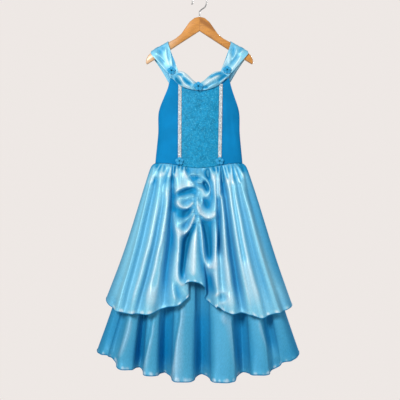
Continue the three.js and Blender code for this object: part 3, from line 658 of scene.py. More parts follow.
class DressColours(bpy.types.PropertyGroup):
    """Colours of the cloths, the braid and the hanger."""

    satin: colour_property("Satin", "Overskirt, straps and swags where they stand out", (0.25, 0.63, 0.82))
    # The colour painted in the satin's folds as shade
    satin_painted_shade: colour_property("Satin in folds", "The same satin down in its folds", (0.0, 0.30, 0.60))
    under: colour_property("Underskirt", "Underskirt satin where it stands out", (0.07, 0.36, 0.57))
    # The colour painted in the underskirt's folds as shade
    under_painted_shade: colour_property("Underskirt in folds", "Underskirt satin in its folds", (0.0, 0.26, 0.55))
    jersey: colour_property("Jersey", "Side and back panels of the bodice", (0.003, 0.205, 0.475))
    glitter: colour_property("Glitter panel", "Ground of the centre panel", (0.001, 0.225, 0.43))
    glint: colour_property("Glitter", "Flecks on the centre panel", (0.07, 0.46, 0.68))
    ribbon: colour_property("Ribbon", "Rosettes", (0.015, 0.32, 0.60))
    braid: colour_property("Braid", "Sequins of the trims", (0.56, 0.60, 0.63))
    wood: colour_property("Wood", "Varnished wood of the hanger", (0.66, 0.28, 0.055))
    wood_dark: colour_property("Wood grain", "Darker grain of the wood", (0.30, 0.11, 0.025))


def through(t, share, start, middle, end):
    """The smooth curve through a value at the start, one at a share of the way, and one at the end."""
    return (
        start * (t - share) * (t - 1) / share
        + middle * t * (1 - t) / (share * (1 - share))
        + end * t * (t - share) / (1 - share)
    )


def smoothstep(value, low, high):
    """0 below low, 1 above high, and a soft step between."""
    share = np.clip((value - low) / (high - low), 0, 1)
    return share * share * (3 - 2 * share)


def spot(value, middle, width):
    """1 at the middle, falling softly to 0 beyond a width on both sides."""
    return np.exp(-(((value - middle) / width) ** 2))


def spline(points, places):
    """The points of a Catmull-Rom curve at places from 0 to 1."""
    points = np.asarray(points, float)
    padded = np.vstack([2 * points[0] - points[1], points, 2 * points[-1] - points[-2]])
    along = np.clip(np.asarray(places, float), 0, 1) * (len(points) - 1)
    i = np.minimum(along.astype(int), len(points) - 2)
    t = (along - i)[..., None]
    a, b, c, d = (padded[i + k] for k in range(4))
    return 0.5 * (2 * b + (c - a) * t + (2 * a - 5 * b + 4 * c - d) * t**2 + (3 * b - a - 3 * c + d) * t**3)


def at_height(rows, z, column):
    """A table's column at height z, joined smoothly from row to row."""
    heights = np.array([row.z for row in rows], float)[::-1]
    values = np.array([getattr(row, column) for row in rows], float)[::-1]
    slopes = np.gradient(values, heights)
    z = np.clip(z, heights[0], heights[-1])
    i = np.clip(np.searchsorted(heights, z) - 1, 0, len(heights) - 2)
    span = heights[i + 1] - heights[i]
    t = (z - heights[i]) / span
    return (
        (2 * t**3 - 3 * t**2 + 1) * values[i]
        + (t**3 - 2 * t**2 + t) * span * slopes[i]
        + (3 * t**2 - 2 * t**3) * values[i + 1]
        + (t**3 - t**2) * span * slopes[i + 1]
    )


def waist_z(x, dip=WAIST_DIP):
    """The waist seam dips at the centre front, and a little at the back."""
    return WAIST_Z - dip * np.maximum(0, 1 - (x / WAIST_HALF) ** 2) ** 3


def neck_z(x):
    """The front neckline rises from its centre to the shoulders."""
    return NECK_Z + NECK_RISE * (np.abs(x) / NECK_HALF) ** NECK_POWER


def along_waist(x):
    """A skirt's places across its waist, from 0 to 1."""
    return (x[:1] + WAIST_HALF) / (2 * WAIST_HALF)


def along_hem(x):
    """A skirt's places across its hem, from 0 to 1."""
    return (x[-1:] + HEM_HALF) / (2 * HEM_HALF)


def standing(x, out, z, face="front"):
    """Points from places across, how far the cloth stands out from the hanger's plane, and heights."""
    return np.stack(np.broadcast_arrays(x, -out if face == "front" else out, z), axis=-1)


def from_outside(side, *grids):
    """A side's grids, worked from the outer edge inwards, with their columns from left to right."""
    return [grid if side < 0 else grid[:, ::-1] for grid in grids]


def bodice_out(x, z, face="front"):
    """How far the bodice stands out from the hanger's plane."""
    x, z = np.broadcast_arrays(np.asarray(x, float), np.asarray(z, float))
    opening = ARMHOLE_OPENING * smoothstep(z, ARMPIT_Z, SHOULDER_CORNER_Z)
    half = np.where(x < 0, at_height(BODICE, z, "left"), at_height(BODICE, z, "right"))
    share = np.minimum(1, np.abs(x) / (half * (1 + opening)))
    return at_height(BODICE, z, face) * (1 - share**SECTION_POWER) ** (1 / SECTION_POWER)


def line_distance(line, x, z):
    """How far each point is from a line of points, and how far along it."""
    best, along = np.full(x.shape, np.inf), np.zeros(x.shape)
    for k, (start, end) in enumerate(zip(line[:-1], line[1:])):
        step = end - start
        share = np.clip(((x - start[0]) * step[0] + (z - start[1]) * step[1]) / (step @ step), 0, 1)
        away = np.hypot(x - start[0] - share * step[0], z - start[1] - share * step[1])
        closer = away < best
        best[closer] = away[closer]
        along[closer] = (k + share[closer]) / (len(line) - 1)
    return best, along


def crease_relief(creases, x, z):
    """How far a list of creases lifts or sinks the cloth at (x, z). Each fades out towards its ends."""
    total = np.zeros_like(x)
    for crease in creases:
        line = spline(crease.points, np.linspace(0, 1, 7 * len(crease.points)))
        reach = 3 * crease.width
        low, high = line.min(0) - reach, line.max(0) + reach
        near = (x > low[0]) & (x < high[0]) & (z > low[1]) & (z < high[1])
        if near.any():
            away, along = line_distance(line, x[near], z[near])
            fade = smoothstep(np.minimum(along, 1 - along), -0.08, 0.16)
            total[near] += crease.rise * fade * spot(away, 0, crease.width)
    return total


def looked_up(heights, i, j):
    """Heights between a net's crossings, i along its first side and j along its second."""
    i = np.clip(i, 0, heights.shape[0] - 1.001)
    j = np.clip(j, 0, heights.shape[1] - 1.001)
    row, column = i.astype(int), j.astype(int)
    s, t = i - row, j - column
    near = heights[row, column] * (1 - t) + heights[row, column + 1] * t
    far = heights[row + 1, column] * (1 - t) + heights[row + 1, column + 1] * t
    return near * (1 - s) + far * s


def around_sum(heights):
    """The sum of each crossing's four neighbours."""
    wide = np.pad(heights, 1, mode="edge")
    return wide[:-2, 1:-1] + wide[2:, 1:-1] + wide[1:-1, :-2] + wide[1:-1, 2:]


def softened(heights, rounds):
    """A net's heights, each averaged with its neighbours a number of times."""
    for _ in range(rounds):
        heights = (heights * 4 + around_sum(heights)) / 8
    return heights


def hung(pulls, low, high, cell, spread, softening=NET_SOFTENING):
    """Cloth hung between its pulled lines, as a net of heights from corner low to corner high.

    Each line keeps its own height and stays a fine edge, and the cloth falls softly from one to the next.
    It is worked from a coarse net to the fine one. Far from any line, over about spread, it lies flat.
    """
    heights = np.zeros((2, 2))
    for coarse in (16, 8, 4, 2, 1):
        size = cell * coarse
        shape = [int((b - a) / size) + 2 for a, b in zip(low, high)]
        places = [np.linspace(0, old - 1, new) for old, new in zip(heights.shape, shape)]
        heights = looked_up(heights, *np.meshgrid(*places, indexing="ij"))
        pinned = np.full(shape, np.nan)
        for pull in pulls:
            along = np.linspace(0, 1, NET_STEPS * len(pull.points))
            line = spline(pull.points, along)
            i, j = np.rint((line - low) / size).astype(int).T
            kept = (i >= 0) & (j >= 0) & (i < shape[0]) & (j < shape[1])
            fade = NET_END + (1 - NET_END) * smoothstep(np.minimum(along, 1 - along), 0, 0.16)
            pinned[i[kept], j[kept]] = (pull.rise * fade)[kept]
        free = np.isnan(pinned)
        for _ in range(NET_ROUNDS):
            heights = np.where(free, around_sum(heights) / (4 + (size / spread) ** 2), pinned)
    sharp = softened(heights, 3)
    rounded = softened(sharp, softening)
    return Net(np.maximum(sharp, rounded), low, cell)


def net_height(net, x, z):
    """A net's height at (x, z)."""
    return looked_up(net.heights, (x - net.low[0]) / net.cell, (z - net.low[1]) / net.cell)


def along_line(points, places):
    """Points of a smooth curve at even shares of its length."""
    line = spline(points, np.linspace(0, 1, 40 * len(points)))
    gone = np.append(0, np.cumsum(np.linalg.norm(np.diff(line, axis=0), axis=1)))
    return np.stack([np.interp(places, gone / gone[-1], line[:, k]) for k in range(line.shape[1])], axis=-1)


def drift(u, t, seed, across, down):
    """Slow uneven movement of a cloth, from -1 to 1."""
    rng = np.random.default_rng(seed)
    total = np.zeros(np.broadcast(u, t).shape)
    for _ in range(6):
        angle = 2 * math.pi * (rng.uniform(0.4, 1) * across * u + rng.uniform(0.3, 1) * down * t)
        total += np.sin(angle + rng.uniform(0, 2 * math.pi)) / 6
    return total


def gathers(u, drop, seed, count, height):
    """Uneven little pleats below a gathered waist: u runs across, and drop is how far down, in mm."""
    rng = np.random.default_rng(seed)
    total = np.zeros(np.broadcast(u, drop).shape)
    for k in range(count):
        centre = (k + 0.5 + rng.uniform(-0.3, 0.3)) / count
        width = rng.uniform(0.22, 0.42) / count
        length = rng.uniform(18, 75)
        rise = height * rng.uniform(0.45, 1)
        total += rise * spot(u, centre, width) * np.exp(-((drop / length) ** 1.6))
    return total - 0.62 * height * np.exp(-((drop / 45) ** 1.6))


def painted_hem_highlights(along, up, seed):
    """Painted highlights in patches just above a hem, where its roll turns the satin up: up is the height
    above the hem.
    """
    patches = np.clip(0.25 + 1.6 * drift(along, 0, seed, across=34, down=1), 0, 1)
    return 0.4 * patches * spot(up, 3.5, 5.5)


def skirt_grid(folds, cut, size, waist_out, face, relief, fine=(), arch=None):
    """Points of a skirt panel, hung from the waist through its folds, and the painted shade at each: dark in
    its folds and light on its crests.

    relief gives how far the cloth lifts from that hang, and how much painted light or shade it gets for that.
    fine names the first and last of the folds that get more columns.
    arch is the hem's own way at some folds.
    """
    rows, columns = size
    table = {field: np.array([getattr(fold, field) for fold in folds], float) for field in Fold._fields[1:]}
    spans = np.hypot(np.diff(table["hem"]), np.diff(table["hem_out"]))
    names = [fold.name for fold in folds]
    if fine:
        spans[names.index(fine[0]) : names.index(fine[1])] *= FINE_COLUMNS
    starts = np.append(0, np.cumsum(spans)) / spans.sum()
    places = np.interp(np.linspace(0, 1, columns), starts, range(len(folds)))
    i = np.minimum(places.astype(int), len(folds) - 2)
    share = places - i
    t = np.linspace(0, 1, rows)[:, None]
    x_line = through(t, cut.middle, table["waist"], table["middle"], table["hem"])
    out_line = through(t, cut.middle, waist_out(table["waist"]), table["middle_out"], table["hem_out"])
    x_from, x_to, out_from, out_to = x_line[:, i], x_line[:, i + 1], out_line[:, i], out_line[:, i + 1]
    z_from, z_to = table["hem_z"][i], table["hem_z"][i + 1]
    rising = table["hem_out"][i] >= table["hem_out"][i + 1]
    away = np.where(rising, share, 1 - share)
    lift = ((1 + np.cos(math.pi * away)) / 2) ** cut.fullness
    ridge, hollow = np.where(rising, out_from, out_to), np.where(rising, out_to, out_from)
    out = hollow + (ridge - hollow) * lift
    ridge, hollow = np.where(rising, x_from, x_to), np.where(rising, x_to, x_from)
    swayed = away + cut.sway * np.sin(2 * math.pi * away) / (2 * math.pi)
    x = ridge + (hollow - ridge) * swayed**cut.breadth
    ridge, hollow = np.where(rising, z_from, z_to), np.where(rising, z_to, z_from)
    hem_z = ridge + (hollow - ridge) * away**1.4
    first, last = i == 0, i == len(folds) - 2
    for seam, turn, seam_x, next_x, next_out in (
        (first, share, x_from, x_to, out_to),
        (last, 1 - share, x_to, x_from, out_from),
    ):
        bend = turn * math.pi / 2
        x = np.where(seam, seam_x + (next_x - seam_x) * (1 - np.cos(bend)), x)
        out = np.where(seam, next_out * np.sin(bend), out)
        hem_z = np.where(seam, z_from + (z_to - z_from) * share, hem_z)
    z = waist_z(x, cut.dip) - GAP / 2
    z = z + (hem_z - z) * t
    out = out * (1 - cut.tuck * np.sin(math.pi * np.minimum(1, t / 0.6)))
    for name, way in (arch or {}).items():
        here = i == names.index(name)
        target = along_line(way, share[here])
        for side, field in enumerate((x, out, z)):
            field[:, here] += smoothstep(t, ARCH_START, 1) * (target[:, side] - field[-1, here])
    sprung = (1 - np.exp(-t / 0.012)) * (1 - smoothstep(t, 0.05, 0.8))
    x = x + cut.spring * sprung * (x / np.abs(x).max(1)[:, None]) ** 3
    # Painted shade by depth: darker where the cloth lies further back in its folds
    painted_depth_shade = (out - out_line.min(1)[:, None]) / (out_line.max(1) - out_line.min(1) + 1)[:, None]
    u = np.linspace(0, 1, columns)[None, :]
    lift, tone = relief(x, z, t, u)
    edge = np.minimum(1, np.minimum(u, 1 - u) / 0.02)
    out = np.maximum(0, out + edge * lift) + GAP / 2
    out[:, [0, -1]] = GAP / 2
    grid = standing(x, out, z, face)
    # Painted shade and highlights: darker in folds and hollows, lighter on crests
    shade = (1 - SHADE_RELIEF) * np.clip(painted_depth_shade, 0, 1) + SHADE_RELIEF * (0.5 + lift / SHADE_REACH)
    return grid, np.clip(shade + tone, 0, 1)


def back_folds(front, ridges, middle_out, hem_out, depth, hem_z):
    """Even folds for a skirt's back, between the side seams of its front, from right to left."""
    left, right = front[0], front[-1]
    count = 2 * ridges + 1

    def between(field, share):
        return getattr(right, field) + (getattr(left, field) - getattr(right, field)) * share

    folds = [right]
    for i in range(count):
        even = (i + 1) / (count + 1)
        share = even + 0.012 * math.sin(2.4 * i)
        swell = math.sqrt(1 - (2 * even - 1) ** 2)
        sink = 0 if i % 2 else 1
        side_z = between("hem_z", even)
        folds.append(
            Fold(
                f"back {'hollow' if sink else 'ridge'} {i}",
                between("waist", share),
                between("middle", share),
                between("hem", share),
                middle_out * swell**0.6 - sink * depth * 0.6,
                hem_out * swell**0.4 - sink * depth,
                side_z + (hem_z - side_z) * math.sin(math.pi * even) ** 0.6,
            )
        )
    return [*folds, left]


def lengths(grid):
    """Cumulative lengths along a grid's rows and down its columns, for a flat layout of the cloth."""
    across = np.linalg.norm(np.diff(grid, axis=1), axis=2)
    down = np.linalg.norm(np.diff(grid, axis=0), axis=2)
    u = np.hstack([np.zeros((len(grid), 1)), np.cumsum(across, axis=1)])
    v = np.vstack([np.zeros((1, grid.shape[1])), np.cumsum(down, axis=0)])
    return u - u[:, -1:] / 2, v


def new_piece(name, mesh, material, node=None, thickness=0):
    """A piece of the dress's one body, made from a mesh, in place of a node if one is named."""
    mesh.materials.append(material)
    piece = bpy.data.objects.new(name, mesh)
    bpy.context.scene.collection.objects.link(piece)
    if thickness:
        piece.modifiers.new("Thickness", "SOLIDIFY").thickness = thickness
    if node:
        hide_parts(node)
    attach(piece, "root")
    return piece


def cloth(name, grid, thickness, material, node, shade=None):
    """A cloth piece over a grid of points in millimetres, in place of a node.

    Rows run down, and columns from left to right as seen from outside.
    """
    rows, columns = grid.shape[:2]
    mesh = bpy.data.meshes.new(name)
    index = np.arange(rows * columns).reshape(rows, columns)
    corners = [index[:-1, :-1], index[1:, :-1], index[1:, 1:], index[:-1, 1:]]
    faces = np.stack(corners, axis=-1).reshape(-1, 4)
    mesh.from_pydata((grid.reshape(-1, 3) * MM).tolist(), [], faces.tolist())
    mesh.polygons.foreach_set("use_smooth", [True] * len(faces))
    u, v = lengths(grid)
    flat = np.stack([u, v], axis=-1).reshape(-1, 2) * MM
    layer = mesh.uv_layers.new(name="Cloth")
    layer.data.foreach_set("uv", flat[faces.reshape(-1)].reshape(-1))
    if shade is not None:
        # The painted shade goes with each point as its fold attribute
        attribute = mesh.attributes.new("fold", "FLOAT", "POINT")
        attribute.data.foreach_set("value", shade.reshape(-1).astype(np.float32))
    return new_piece(name, mesh, material, node, thickness)


def rolled_hem(name, line, radius, material):
    """The thread-covered roll along a hem, a thin tube through a line of points in millimetres."""
    sides = 6
    radius = radius / MM
    ahead = np.gradient(line, axis=0)
    ahead /= np.linalg.norm(ahead, axis=1)[:, None]
    up = np.array([0, 0, 1.0]) - ahead * ahead[:, 2:]
    up /= np.linalg.norm(up, axis=1)[:, None]
    side = np.cross(ahead, up)
    angles = np.linspace(0, 2 * math.pi, sides, endpoint=False)
    ring = up[:, None] * np.cos(angles)[None, :, None] + side[:, None] * np.sin(angles)[None, :, None]
    points = (line[:, None] + radius * ring).reshape(-1, 3)
    mesh = bpy.data.meshes.new(name)
    count = len(line)
    faces = []
    for i in range(count - 1):
        for k in range(sides):
            n = (k + 1) % sides
            faces.append((i * sides + k, i * sides + n, (i + 1) * sides + n, (i + 1) * sides + k))
    faces.append(tuple(range(sides))[::-1])
    faces.append(tuple((count - 1) * sides + k for k in range(sides)))
    mesh.from_pydata((points * MM).tolist(), [], faces)
    mesh.polygons.foreach_set("use_smooth", [True] * len(faces))
    tidy_normals(mesh)
    return new_piece(name, mesh, material)


def tidy_normals(mesh):
    """Makes a closed mesh's faces point outwards."""
    shape = bmesh.new()
    shape.from_mesh(mesh)
    bmesh.ops.recalc_face_normals(shape, faces=shape.faces)
    shape.to_mesh(mesh)
    shape.free()


def connect(tree, node, inputs):
    """Gives each of a node's inputs its value, or links the socket that is given for it."""
    for name, value in inputs.items():
        if isinstance(value, bpy.types.NodeSocket):
            tree.links.new(value, node.inputs[name])
        else:
            node.inputs[name].default_value = value


def add_node(tree, kind, inputs=None, **settings):
    """A shader node of a kind, with its settings and its inputs."""
    node = tree.nodes.new("ShaderNode" + kind)
    for name, value in settings.items():
        setattr(node, name, value)
    connect(tree, node, inputs or {})
    return node


def new_material(name):
    """A material and its node tree."""
    material = bpy.data.materials.new(name)
    material.use_nodes = True
    return material, material.node_tree


def finished(material, inputs):
    """A material whose shader has its inputs."""
    tree = material.node_tree
    connect(tree, tree.nodes["Principled BSDF"], inputs)
    return material


def toned(colour, factor, lift=0):
    """A colour made lighter or darker."""
    return tuple(min(1, c * factor + lift) for c in colour)


def blended(a, b, share=0.5):
    """A colour between two."""
    return tuple((1 - share) * c + share * d for c, d in zip(a, b))


def ramp(tree, source, *stops):
    """A colour ramp from a value, through (place, colour) stops. A single number is a grey."""
    node = add_node(tree, "ValToRGB")
    elements = node.color_ramp.elements
    while len(elements) < len(stops):
        elements.new(0.5)
    for element, (place, colour) in zip(elements, stops):
        element.position = place
        element.color = (*colour, 1) if isinstance(colour, tuple) else (colour, colour, colour, 1)
    connect(tree, node, {"Fac": source})
    return node.outputs["Color"]


def band(tree, value, low, high, soft):
    """1 where a value lies between low and high, with soft sides."""
    return ramp(tree, value, (low - soft, 0), (low + soft, 1), (high - soft, 1), (high + soft, 0))


def mixed(tree, share, a, b, blend="MIX"):
    """Two colours mixed. Each of share, a and b is a socket or a value."""
    a, b = ((*value, 1) if isinstance(value, tuple) else value for value in (a, b))
    return add_node(tree, "Mix", {0: share, 6: a, 7: b}, data_type="RGBA", blend_type=blend).outputs[2]


def multiplied(tree, a, b):
    """Two colours multiplied."""
    return mixed(tree, 1, a, b, "MULTIPLY")


def cloth_place(tree, scale=(1, 1, 1)):
    """The cloth's own flat layout, scaled."""
    uv = add_node(tree, "UVMap", uv_map="Cloth")
    return add_node(tree, "Mapping", {"Scale": scale, "Vector": uv.outputs["UV"]}).outputs["Vector"]


def object_place(tree, scale=(1, 1, 1), location=(0, 0, 0)):
    """Object coordinates, scaled and moved."""
    place = add_node(tree, "TexCoord").outputs["Object"]
    mapping = add_node(tree, "Mapping", {"Scale": scale, "Location": location, "Vector": place})
    return mapping.outputs["Vector"]


def texture(tree, kind, place, scale, output="Fac", **inputs):
    """The output of a texture node at a place."""
    return add_node(tree, "Tex" + kind, {"Vector": place, "Scale": scale, **inputs}).outputs[output]


def bump(tree, height, strength, distance, **normal):
    """A bump node's normal, over another one if that is given."""
    node = add_node(tree, "Bump", {"Strength": strength, "Distance": distance, "Height": height, **normal})
    return node.outputs["Normal"]


def painted_fold_shade(tree):
    """The painted shade kept with each point of a cloth: low in its folds, where it paints shade, and high on
    its crests, where it paints highlights.
    """
    return add_node(tree, "Attribute", attribute_name="fold").outputs["Fac"]


def satin(name, light, deep, roughness, metallic, painted_highlight, gloss):
    """Satin: a smooth float of warp threads, with a painted highlight near white on its crests, and painted
    shade deep in its folds, where it is also dull.
    """
    material, tree = new_material(name)
    fold = painted_fold_shade(tree)
    # Painted shade and highlights: darkest deep in the folds, through the satin's colour, to near white on
    # the crests
    shade = ramp(
        tree,
        fold,
        (0.1, toned(deep, 0.75)),
        (0.27, deep),
        (0.5, blended(deep, light)),
        (0.72, light),
        (0.93, blended(light, (1, 1, 1), painted_highlight)),
    )
    clouds = texture(tree, "Noise", object_place(tree), 9, Detail=2)
    grain = texture(tree, "Noise", cloth_place(tree, (1, 0.4, 1)), 330, Detail=2)
    cloudy = ramp(tree, clouds, (0.3, 0.94), (0.7, 1))
    grained = ramp(tree, grain, (0.35, 0.9), (0.65, 1.04))
    place = cloth_place(tree, (1, 0.12, 1))
    threads = texture(tree, "Wave", place, 420, Distortion=1.2, Detail=2, **{"Detail Scale": 2})
    slubs = texture(tree, "Noise", cloth_place(tree, (60, 9, 1)), 6, Detail=3)
    dull = ramp(tree, fold, (0.2, 0.8), (0.55, roughness + 0.08), (0.9, roughness))
    worn = ramp(tree, slubs, (0.35, 0.9), (0.65, 1))
    soft = bump(tree, slubs, 0.05, 0.0006)
    return finished(
        material,
        {
            "Base Color": multiplied(tree, shade, multiplied(tree, cloudy, grained)),
            "Normal": bump(tree, threads, 0.03, 0.0002, Normal=soft),
            "Roughness": multiplied(tree, dull, worn),
            "Metallic": metallic,
            "Specular IOR Level": gloss,
            "Sheen Weight": 0.03,
            "Sheen Roughness": 0.4,
            "Sheen Tint": (0, 0.6, 1, 1),
        },
    )


def jersey(name, colour):
    """Matt stretch knit with fine ribs."""
    material, tree = new_material(name)
    clouds = texture(tree, "Noise", object_place(tree), 14, Detail=3)
    ribs = texture(tree, "Wave", cloth_place(tree), 380, Distortion=0.6, Detail=1)
    return finished(
        material,
        {
            "Base Color": ramp(tree, clouds, (0.3, toned(colour, 0.86)), (0.7, toned(colour, 1.12))),
            "Normal": bump(tree, ribs, 0.12, 0.0003),
            "Roughness": 0.75,
            "Specular IOR Level": 0.06,
            "Sheen Weight": 0.03,
            "Sheen Roughness": 0.5,
            "Sheen Tint": (0, 0.5, 1, 1),
        },
    )


def random_cells(tree, place, scale):
    """Three random values for each cell of a texture."""
    cells = texture(tree, "Voronoi", place, scale, "Color")
    return add_node(tree, "SeparateColor", {"Color": cells}).outputs


def glitter(name, ground, glint):
    """Stretch cloth printed with fine glitter in soft drifts."""
    material, tree = new_material(name)
    place = object_place(tree)
    flecks = random_cells(tree, place, 620)
    drifts = texture(tree, "Noise", place, 90, Detail=4, Roughness=0.6, Distortion=1.2)
    base = ramp(tree, drifts, (0.36, toned(ground, 0.8)), (0.62, toned(ground, 1.22, 0.004)))
    sparkle = ramp(tree, flecks["Red"], (0.78, 0), (0.98, 0.75))
    return finished(
        material,
        {
            "Base Color": mixed(tree, sparkle, base, glint),
            "Roughness": ramp(tree, flecks["Green"], (0, 0.4), (1, 0.7)),
            "Metallic": ramp(tree, flecks["Red"], (0.8, 0), (1, 0.35)),
            "Normal": bump(tree, mixed(tree, 0.5, flecks["Blue"], drifts), 0.3, 0.0004),
            "Specular IOR Level": 0.15,
        },
    )


def ribbon(name, colour):
    """Narrow satin ribbon, darker or lighter by the painted shade kept with its points."""
    material, tree = new_material(name)
    threads = texture(tree, "Wave", cloth_place(tree), 500, Distortion=0.5)
    # The painted shade's dark colour and the painted highlight's light colour
    dark, light = toned(colour, 0.25), toned(colour, 1.25, 0.03)
    painted_petal_shade = ramp(tree, painted_fold_shade(tree), (0.2, dark), (0.55, colour), (0.95, light))
    return finished(
        material,
        {
            "Base Color": multiplied(tree, painted_petal_shade, ramp(tree, threads, (0, 0.85), (1, 1))),
            "Normal": bump(tree, threads, 0.1, 0.0002),
            "Roughness": 0.5,
            "Specular IOR Level": 0.2,
            "Sheen Weight": 0.05,
        },
    )


def hem_thread(name, colour):
    """Overlocked thread round a rolled hem."""
    material, tree = new_material(name)
    turns = texture(tree, "Wave", object_place(tree), 260, Distortion=2)
    # Partly painted shade: the thread is kept dark, like the shade under the hem's roll
    tone = ramp(tree, turns, (0.2, toned(colour, 0.5)), (0.8, colour))
    normal = bump(tree, turns, 0.4, 0.0004)
    return finished(material, {"Base Color": tone, "Normal": normal, "Roughness": 0.55})


def sequins(name, colour):
    """Silver sequins, each with its own slight tone."""
    material, tree = new_material(name)
    cells = random_cells(tree, object_place(tree), 330)
    return finished(
        material,
        {
            "Base Color": ramp(tree, cells["Red"], (0.1, toned(colour, 0.7)), (0.9, toned(colour, 1.2))),
            "Roughness": ramp(tree, cells["Green"], (0, 0.22), (1, 0.45)),
            "Metallic": 0.15,
        },
    )


def braid_tape(name, colour):
    """The woven tape under the sequins."""
    material, tree = new_material(name)
    weave = texture(tree, "Checker", cloth_place(tree), 900)
    return finished(
        material,
        {
            "Base Color": ramp(tree, weave, (0, toned(colour, 0.4)), (1, toned(colour, 0.7))),
            "Normal": bump(tree, weave, 0.3, 0.0003),
            "Roughness": 0.6,
            "Metallic": 0.2,
        },
    )


def varnished_wood(name, light, dark):
    """Varnished wood: grain along the arms, a joint with painted shade on the facet beside it, and a painted
    reflection on the paler left end.
    """
    material, tree = new_material(name)
    place = object_place(tree, (14, 90, 70))
    grain = texture(tree, "Noise", place, 2.2, Detail=6, Roughness=0.6, Distortion=0.6)
    clouds = texture(tree, "Noise", object_place(tree), 18, Detail=2)
    base = ramp(tree, grain, (0.3, blended(light, dark)), (0.52, light), (0.75, toned(light, 1.12)))
    wood = multiplied(tree, base, ramp(tree, clouds, (0.3, 0.9), (0.7, 1)))
    span = 1 / (2 * BAR_HALF_SPAN * MM)
    along_bar = object_place(tree, (span, span, span), (0.5, 0, 0.6))
    apart = add_node(tree, "SeparateXYZ", {"Vector": along_bar}).outputs
    across = apart["X"]
    # Painted reflection: the left end is paler
    wood = mixed(tree, ramp(tree, across, (0, 0.75), (0.2, 0.5), (0.33, 0)), wood, PAINTED_WOOD_REFLECTION)
    # Painted shade on the facet right of the joint
    terms = {0: across, 1: SHADED_FACET_SLOPE, 2: apart["Z"]}
    slope = add_node(tree, "Math", terms, operation="MULTIPLY_ADD").outputs[0]
    along_edge = band(tree, slope, *SHADED_FACET_EDGES, soft=0.012)
    beside_joint = band(tree, across, *SHADED_FACET_ENDS, soft=0.003)
    wood = mixed(tree, multiplied(tree, along_edge, beside_joint), wood, blended(light, dark, 0.8))
    joint = mixed(tree, 0.5, band(tree, across, *JOINT, soft=0.0012), (0, 0, 0))
    return finished(
        material,
        {
            "Base Color": mixed(tree, joint, wood, dark),
            "Normal": bump(tree, grain, 0.08, 0.0004),
            "Roughness": ramp(tree, grain, (0.3, 0.42), (0.7, 0.3)),
            "Coat Weight": 0.2,
            "Coat Roughness": 0.2,
        },
    )


def bright_wire(name):
    """Plated steel wire with faint drawing marks."""
    material, tree = new_material(name)
    marks = texture(tree, "Noise", object_place(tree), 160, Detail=3)
    tone = ramp(tree, marks, (0.3, 0.2), (0.7, 0.34))
    dullness = ramp(tree, marks, (0.3, 0.3), (0.7, 0.42))
    return finished(material, {"Base Color": tone, "Roughness": dullness, "Metallic": 1})


def skirt_waist(inset, face="front"):
    """The waist line of a skirt that hangs inside the bodice's seam by an inset."""

    def out(x):
        spread = UNDERSKIRT_SPREAD if inset else 1
        return np.maximum(0, bodice_out(spread * x, WAIST_Z, face) - inset)

    return out


class DRESS_OT_bodice(bpy.types.Operator):
    """Sew the bodice: glitter centre, two jersey side panels and a plain back"""

    bl_idname = "dress.bodice"
    bl_label = "Bodice"

    def execute(self, context):
        sizes, colours = context.scene.dress_sizes, context.scene.dress_colours
        knit = jersey("Stretch jersey", tuple(colours.jersey))
        sparkle = glitter("Glitter jersey", tuple(colours.glitter), tuple(colours.glint))
        self.centre(sizes, sparkle)
        for name, side in SIDES.items():
            self.side_panel(sizes, knit, name, side)
        self.back(sizes, knit)
        return {"FINISHED"}

    def centre(self, sizes, material):
        t = np.linspace(0, 1, 90)[:, None]
        share = np.linspace(0, 1, 60)[None, :]
        (left_neck, left_waist), (right_neck, right_waist) = PRINCESS_SEAMS[-1], PRINCESS_SEAMS[1]
        left = left_neck + (left_waist - left_neck) * t + GAP / 2
        right = right_neck + (right_waist - right_neck) * t - GAP / 2
        x = left + (right - left) * share
        neck = neck_z(x)
        z = neck + (waist_z(x) + GAP / 2 - neck) * t
        grid = standing(x, bodice_out(x, z) + GAP / 2, z)
        grid[..., 1] -= 0.5 * np.clip(drift(share, t, seed=3, across=5, down=7), 0, 1)
        piece = cloth("glitter_panel", grid, sizes.jersey, material, "bodice_front_centre")

    def side_panel(self, sizes, material, name, side):
        t = np.linspace(0, 1, 90)[:, None]
        share = np.sin(np.linspace(0, 1, 50) * math.pi / 2)[None, :]
        neck_x, waist_x = PRINCESS_SEAMS[side]
        seam = neck_x + (waist_x - neck_x) * t + side * GAP / 2
        outer_z = SHOULDER_CORNER_Z + (WAIST_Z + GAP / 2 - SHOULDER_CORNER_Z) * t
        armhole = at_height(FRONT_ARMHOLE, outer_z, name)
        outer = side * np.where(outer_z > ARMPIT_Z, armhole, at_height(BODICE, outer_z, name))
        x = seam + (outer - seam) * share
        neck = neck_z(seam)
        top = neck + (SHOULDER_CORNER_Z - neck) * share
        z = top + (waist_z(x) + GAP / 2 - top) * t
        grid = standing(x, bodice_out(x, z) + GAP / 2, z)
        grid[..., 1] -= crease_relief(JERSEY_CREASES, x, z) * np.sin(math.pi * np.clip(share, 0, 1)) ** 0.5
        if side < 0:
            grid = grid[:, ::-1]
        piece = cloth(f"side_panel_{name}", grid, sizes.jersey, material, f"bodice_front_{name}")

    def back(self, sizes, material):
        t = np.linspace(0, 1, 80)[:, None]
        share = np.cos(np.linspace(0, math.pi, 100))[None, :]
        edge_z = BACK_CORNER_Z + (WAIST_Z + GAP / 2 - BACK_CORNER_Z) * t
        half = np.where(share < 0, at_height(BODICE, edge_z, "left"), at_height(BODICE, edge_z, "right"))
        x = share * half
        neck = BACK_NECK_Z + (BACK_CORNER_Z - BACK_NECK_Z) * share**2
        z = neck + (waist_z(x, WAIST_BACK_DIP) + GAP / 2 - neck) * t
        grid = standing(x, bodice_out(x, z, "back") + GAP / 2, z, "back")
        grid[..., 1] += 0.9 * drift(share, t, seed=11, across=3, down=4) * (1 - share**2)
        piece = cloth("back_panel", grid, sizes.jersey, material, "bodice_back")


